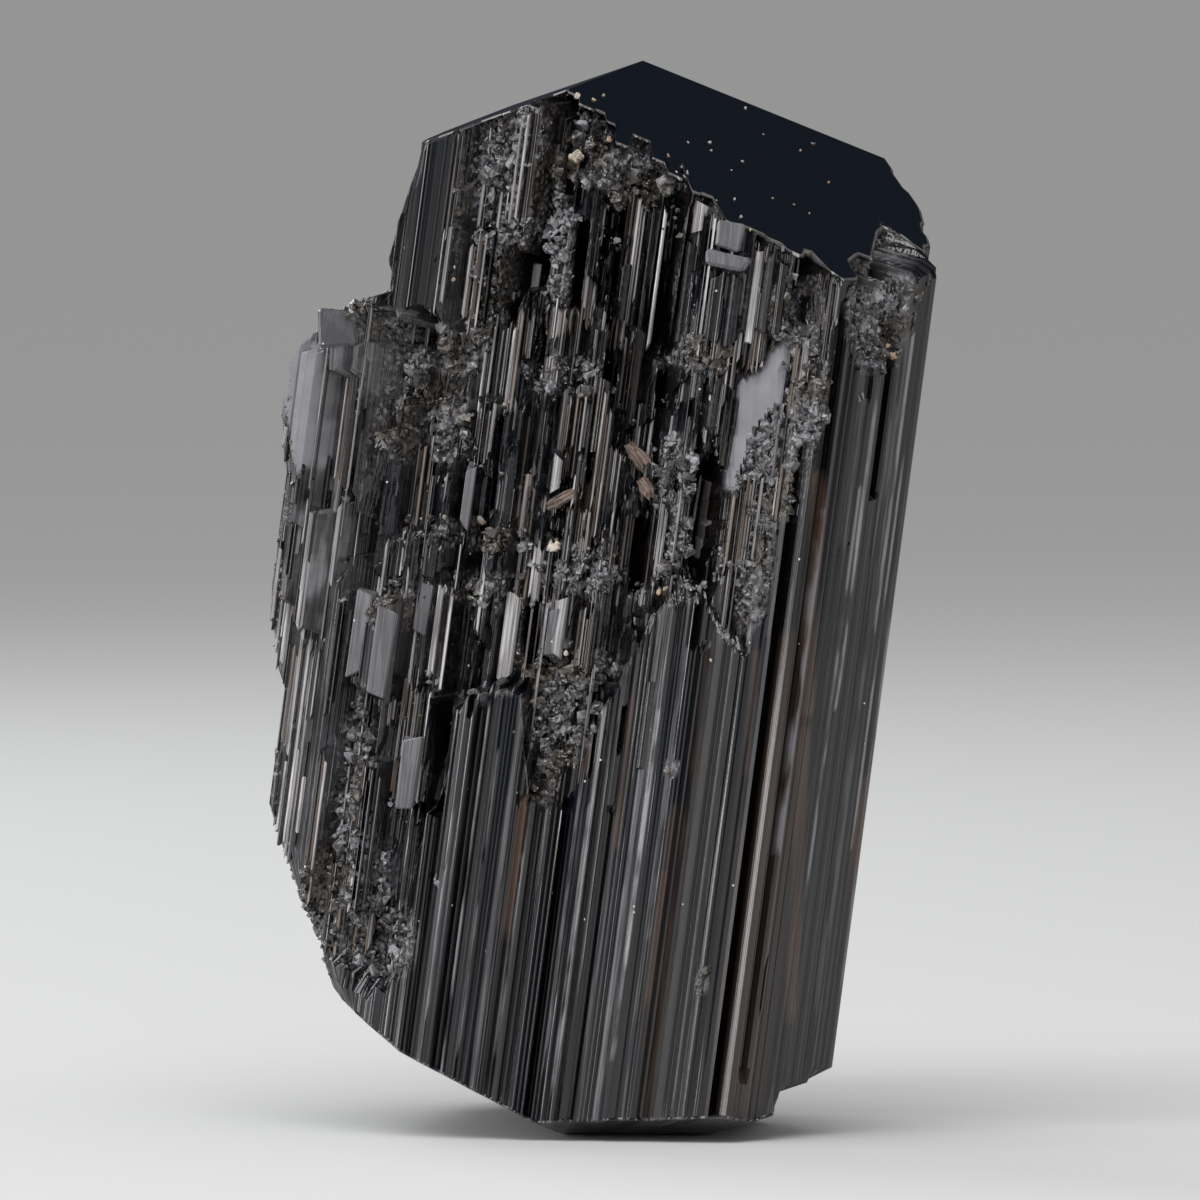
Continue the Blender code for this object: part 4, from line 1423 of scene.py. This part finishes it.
def leafOutline(random):
    # a long strip with ragged sides and splintered ends
    along = np.linspace(-1.0, 1.0, mica["steps"])
    wide = 1 - along**2 * mica["tapered"]
    right = [(x, (1 - random.random() * mica["ragged"]) * a) for x, a in zip(along, wide)]
    left = [(x, (random.random() * mica["ragged"] - 1) * a) for x, a in zip(along[::-1], wide)]
    teeth = [1 - random.random() * mica["splintered"] for _ in range(4)]
    farEnd = [(teeth[0], 0.35), (teeth[1], -0.3)]
    nearEnd = [(-teeth[2], -0.4), (-teeth[3], 0.3)]
    return right + farEnd + left + nearEnd


def micaMesh(node, seed):
    # a book of thin leaves, each a little turned from the one below
    random = np.random.default_rng(seed)
    middle, axes, half = solidAxes(node)
    count = mica["leaves"]
    points, faces, leafOf, across = [], [], [], []
    for leaf in range(count):
        share = (leaf + 0.5) / count * 2 - 1
        thick = half[2] / count * (1 - mica["gap"])
        turn = math.radians(share * mica["fan"] + random.uniform(-1, 1) * mica["uneven"])
        forward = share if axes[2][1] < 0 else -share
        step = 1 - mica["terrace"] * (forward + 1) / 2 * random.uniform(0.4, 1.0)
        slide = random.uniform(-1, 1, 2) * (1 - step + 0.04)
        start = len(points)
        tone = random.random()
        ring = [(x * (step + 0.1), y * step) for x, y in leafOutline(random)]
        corners = len(ring)
        for side in (-1, 1):
            for x, y in ring:
                x, y = x + slide[0], y + slide[1]
                a = np.clip(x * math.cos(turn) - y * math.sin(turn), -1.0, 1.0) * half[0]
                b = np.clip(x * math.sin(turn) + y * math.cos(turn), -1.0, 1.0) * half[1]
                c = share * half[2] + side * thick
                points.append(middle + axes[0] * a + axes[1] * b + axes[2] * c)
                leafOf.append(tone)
                across.append(y + leaf)
        low = list(range(start, start + corners))
        high = [k + corners for k in low]
        faces.append(tuple(low))
        faces.append(tuple(high[::-1]))
        for k in range(corners):
            n = (k + 1) % corners
            faces.append((low[k], high[k], high[n], low[n]))
    mesh = bpy.data.meshes.new(node)
    mesh.from_pydata([tuple(p) for p in points], [], faces)
    mesh.attributes.new("leaf", "FLOAT", "POINT").data.foreach_set("value", leafOf)
    mesh.attributes.new("across", "FLOAT", "POINT").data.foreach_set("value", across)
    return mesh


feldspar = dict(
    radius=1.15,
    cuts=7,  # cleavage planes through a lump
    cutAt=(0.35, 0.8),
    ragged=0.3,
    mainSize=0.72,
    lumps=9,  # and so many small ones about the main one
    spread=0.6,
    smallSize=(0.22, 0.4),
    seed=60,
)


def addLump(builder, random, middle, axes, half, ragged):
    # one angular lump, cut by a few cleavage planes
    lump = bmesh.ops.create_icosphere(builder, subdivisions=2, radius=feldspar["radius"])
    cuts = [Vector(random.normal(0, 1, 3)).normalized() for _ in range(feldspar["cuts"])]
    limits = random.uniform(*feldspar["cutAt"], feldspar["cuts"])
    for vertex in lump["verts"]:
        place = vertex.co.copy()
        for normal, limit in zip(cuts, limits):
            over = place.dot(normal) - limit
            if over > 0:
                place -= normal * over
        place *= 1 + (random.random() - 0.5) * ragged
        local = np.array(place) * half
        vertex.co = Vector(middle + axes.T @ local)


def feldsparMesh(node, seed):
    random = np.random.default_rng(seed)
    middle, axes, half = solidAxes(node)
    builder = bmesh.new()
    spread, ragged = feldspar["spread"], feldspar["ragged"]
    addLump(builder, random, middle, axes, half * feldspar["mainSize"], ragged)
    for _ in range(feldspar["lumps"]):
        offset = axes.T @ (random.uniform(-spread, spread, 3) * half)
        size = half * random.uniform(*feldspar["smallSize"])
        addLump(builder, random, middle + offset, axes, size, ragged)
    mesh = bpy.data.meshes.new(node)
    builder.to_mesh(mesh)
    builder.free()
    return mesh


# Small cream grains about the etched front: place and size in pixels.
crumbs = (
    (574, 96, 9), (571, 104, 7), (606, 139, 6), (625, 157, 8), (452, 279, 5), (453, 266, 4),
    (475, 516, 9), (482, 519, 6), (468, 512, 5), (662, 580, 9), (654, 584, 6), (564, 645, 7),
    (500, 577, 6), (556, 476, 5), (640, 487, 6), (648, 490, 5), (553, 534, 6), (884, 352, 9),
    (880, 343, 6), (705, 650, 4), (390, 681, 5), (735, 216, 5), (744, 228, 4), (443, 512, 5),
    (684, 143, 4), (705, 143, 4), (707, 151, 3), (738, 162, 4), (742, 109, 4), (796, 151, 3),
    (809, 144, 5), (788, 204, 3), (803, 213, 3), (824, 183, 4), (729, 199, 4), (767, 198, 3),
    (600, 96, 4), (591, 101, 5), (664, 156, 4), (672, 172, 3), (548, 330, 4), (713, 365, 3),
)


creamCrumb = dict(seed=8, sunk=0.02, stretch=(0.35, 0.55), ragged=0.25)


def crumbMesh():
    random = np.random.default_rng(creamCrumb["seed"])
    builder = bmesh.new()
    turn = np.array(toRow.to_3x3()) / mm
    for x, y, size in crumbs:
        u, w = atPixel(x, y)
        depth = frontDepth(u, w)
        if depth is None:
            continue
        middle = np.array(toRow @ Vector((u, depth + creamCrumb["sunk"], w)))
        half = random.uniform(*creamCrumb["stretch"], 3) * size * photo["scale"] * mm
        addLump(builder, random, middle, turn, half, creamCrumb["ragged"])
    mesh = bpy.data.meshes.new("feldspar_crumbs")
    builder.to_mesh(mesh)
    builder.free()
    return mesh


def finishPiece(obj, slotName, *nodes):
    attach(obj, "root")
    if nodes:
        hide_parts(*nodes)
    obj.data.calc_loop_triangles()
    print(obj.name + ":", len(obj.data.loop_triangles), "triangles")


tourmaline = tourmalineMaterial()
skinObject = newObject("tourmaline", skinMesh())
striationTree(tourmaline).applyTo(skinObject)
finishPiece(skinObject, "tourmaline", "tourmaline_crystal")

columnList, ledgeList = columnPlaces()
columnObject = newObject("broken_columns", placesMesh("broken_columns", columnList))
columnTree(tourmaline).applyTo(columnObject)
finishPiece(columnObject, "tourmaline")

grainObject = newObject("drusy_grains", placesMesh("drusy_grains", grainPlaces(ledgeList)))
grainTree(tourmaline).applyTo(grainObject)
finishPiece(grainObject, "tourmaline")

tabletObject = newObject("satin_tablets", tabletMesh())
tabletObject.data.materials.append(tourmaline)
finishPiece(tabletObject, "tourmaline")

micaSurface = micaMaterial()
for seed, node in enumerate(("mica_flake_upper", "mica_flake_lower", "mica_splinter")):
    piece = newObject(node + "_leaves", micaMesh(node, seed + mica["seed"]))
    piece.data.materials.append(micaSurface)
    finishPiece(piece, "mica", node)

feldsparSurface = feldsparMaterial()
for seed, node in enumerate(("feldspar_grain_middle", "feldspar_grain_left", "feldspar_grain_top")):
    piece = newObject(node + "_lumps", feldsparMesh(node, seed + feldspar["seed"]))
    piece.data.materials.append(feldsparSurface)
    finishPiece(piece, "feldspar", node)

crumbObject = newObject("feldspar_crumbs", crumbMesh())
crumbObject.data.materials.append(feldsparSurface)
finishPiece(crumbObject, "feldspar")


# The studio.
studio = dict(
    floorColour=(0.52, 0.52, 0.515, 1.0),
    floorSize=8.0,
    floorRoughness=0.75,
    around=(0.58, 0.58, 0.58, 1.0),  # what the world sheds on the floor
    dim=(0.034, 0.037, 0.047, 1.0),  # what the crystal's faces mirror
    # place, size and power of each light, in metres and watts; each looks at the crystal
    lights=(
        ("leftKey", (-0.52, -0.32, 0.14), (0.44, 0.50), 0.45, (1.0, 0.985, 0.97)),
        ("leftStrip", (-0.46, -0.40, 0.14), (0.028, 0.50), 0.42, (1.0, 0.99, 0.98)),
        ("rearStrip", (-0.60, -0.12, 0.14), (0.03, 0.50), 0.32, (1.0, 0.99, 0.98)),
        ("rightFill", (0.48, -0.30, 0.12), (0.14, 0.40), 0.22, (1.0, 0.94, 0.90)),
        ("rightSheen", (0.60, 0.06, 0.14), (0.05, 0.40), 0.12, (0.94, 0.95, 1.0)),
        ("frontStrip", (-0.12, -0.66, 0.16), (0.02, 0.40), 0.05, (0.96, 0.98, 1.0)),
        ("above", (-0.10, -0.34, 0.52), (0.60, 0.36), 3.0, (0.98, 0.985, 1.0)),
        ("leftBack", (-0.60, 0.10, 0.16), (0.22, 0.45), 1.1, (0.97, 0.97, 1.0)),
        ("backTop", (-0.30, 0.40, 0.40), (0.30, 0.30), 1.6, (0.95, 0.98, 1.0)),
    ),
    aim=(0.0, 0.0, 0.03),
)


def buildFloor():
    size = studio["floorSize"] / 2
    mesh = bpy.data.meshes.new("floor")
    corners = [(-size, -size, 0), (size, -size, 0), (size, size, 0), (-size, size, 0)]
    mesh.from_pydata(corners, [], [(0, 1, 2, 3)])
    floor = newObject("floor", mesh)
    maker = MaterialMaker("floor")
    rough = studio["floorRoughness"]
    maker.feed(Base_Color=studio["floorColour"], Roughness=rough, Specular_IOR_Level=0.0)
    mesh.materials.append(maker.material)


def buildLights():
    aim = Vector(studio["aim"])
    for name, place, size, power, colour in studio["lights"]:
        light = bpy.data.lights.new(name, "AREA")
        light.shape = "RECTANGLE"
        light.size, light.size_y = size
        light.energy = power
        light.color = colour
        obj = newObject(name, light)
        obj.location = place
        obj.rotation_euler = (aim - Vector(place)).to_track_quat("-Z", "Y").to_euler()


def buildWorld():
    # pale behind the crystal, and dim where only its faces mirror it
    world = bpy.data.worlds.new("studio")
    world.use_nodes = True
    bpy.context.scene.world = world
    maker = NodeMaker(world.node_tree)
    mirrored = maker.add("ShaderNodeLightPath", None, None, "Is Glossy Ray")
    seen = maker.output(mirrored, "Is Camera Ray")
    colour = maker.mixColour(mirrored, studio["around"], studio["dim"])
    behind = tuple(f * a for f, a in zip(studio["floorColour"], studio["around"]))
    colour = maker.mixColour(seen, colour, behind)
    background = world.node_tree.nodes["Background"]
    world.node_tree.links.new(colour.socket, background.inputs["Color"])


view = dict(
    lens=400.0,
    frameWidth=0.0672,  # metres across the picture at the crystal
    centre=(-0.0001, 0.0, 0.0293),
    elevation=2.0,
)


def buildCamera():
    camera = bpy.data.cameras.new("camera")
    camera.lens = view["lens"]
    eye = newObject("camera", camera)
    distance = view["frameWidth"] * camera.lens / camera.sensor_width
    tilt = math.radians(view["elevation"])
    back = Vector((0, -math.cos(tilt), math.sin(tilt)))
    eye.location = Vector(view["centre"]) + back * distance
    eye.rotation_euler = (math.radians(90) - tilt, 0, 0)
    camera.clip_end = 20.0
    bpy.context.scene.camera = eye


buildFloor()
buildLights()
buildWorld()
buildCamera()
bpy.context.scene.view_settings.view_transform = "Standard"
print("studio: floor, lights and camera")
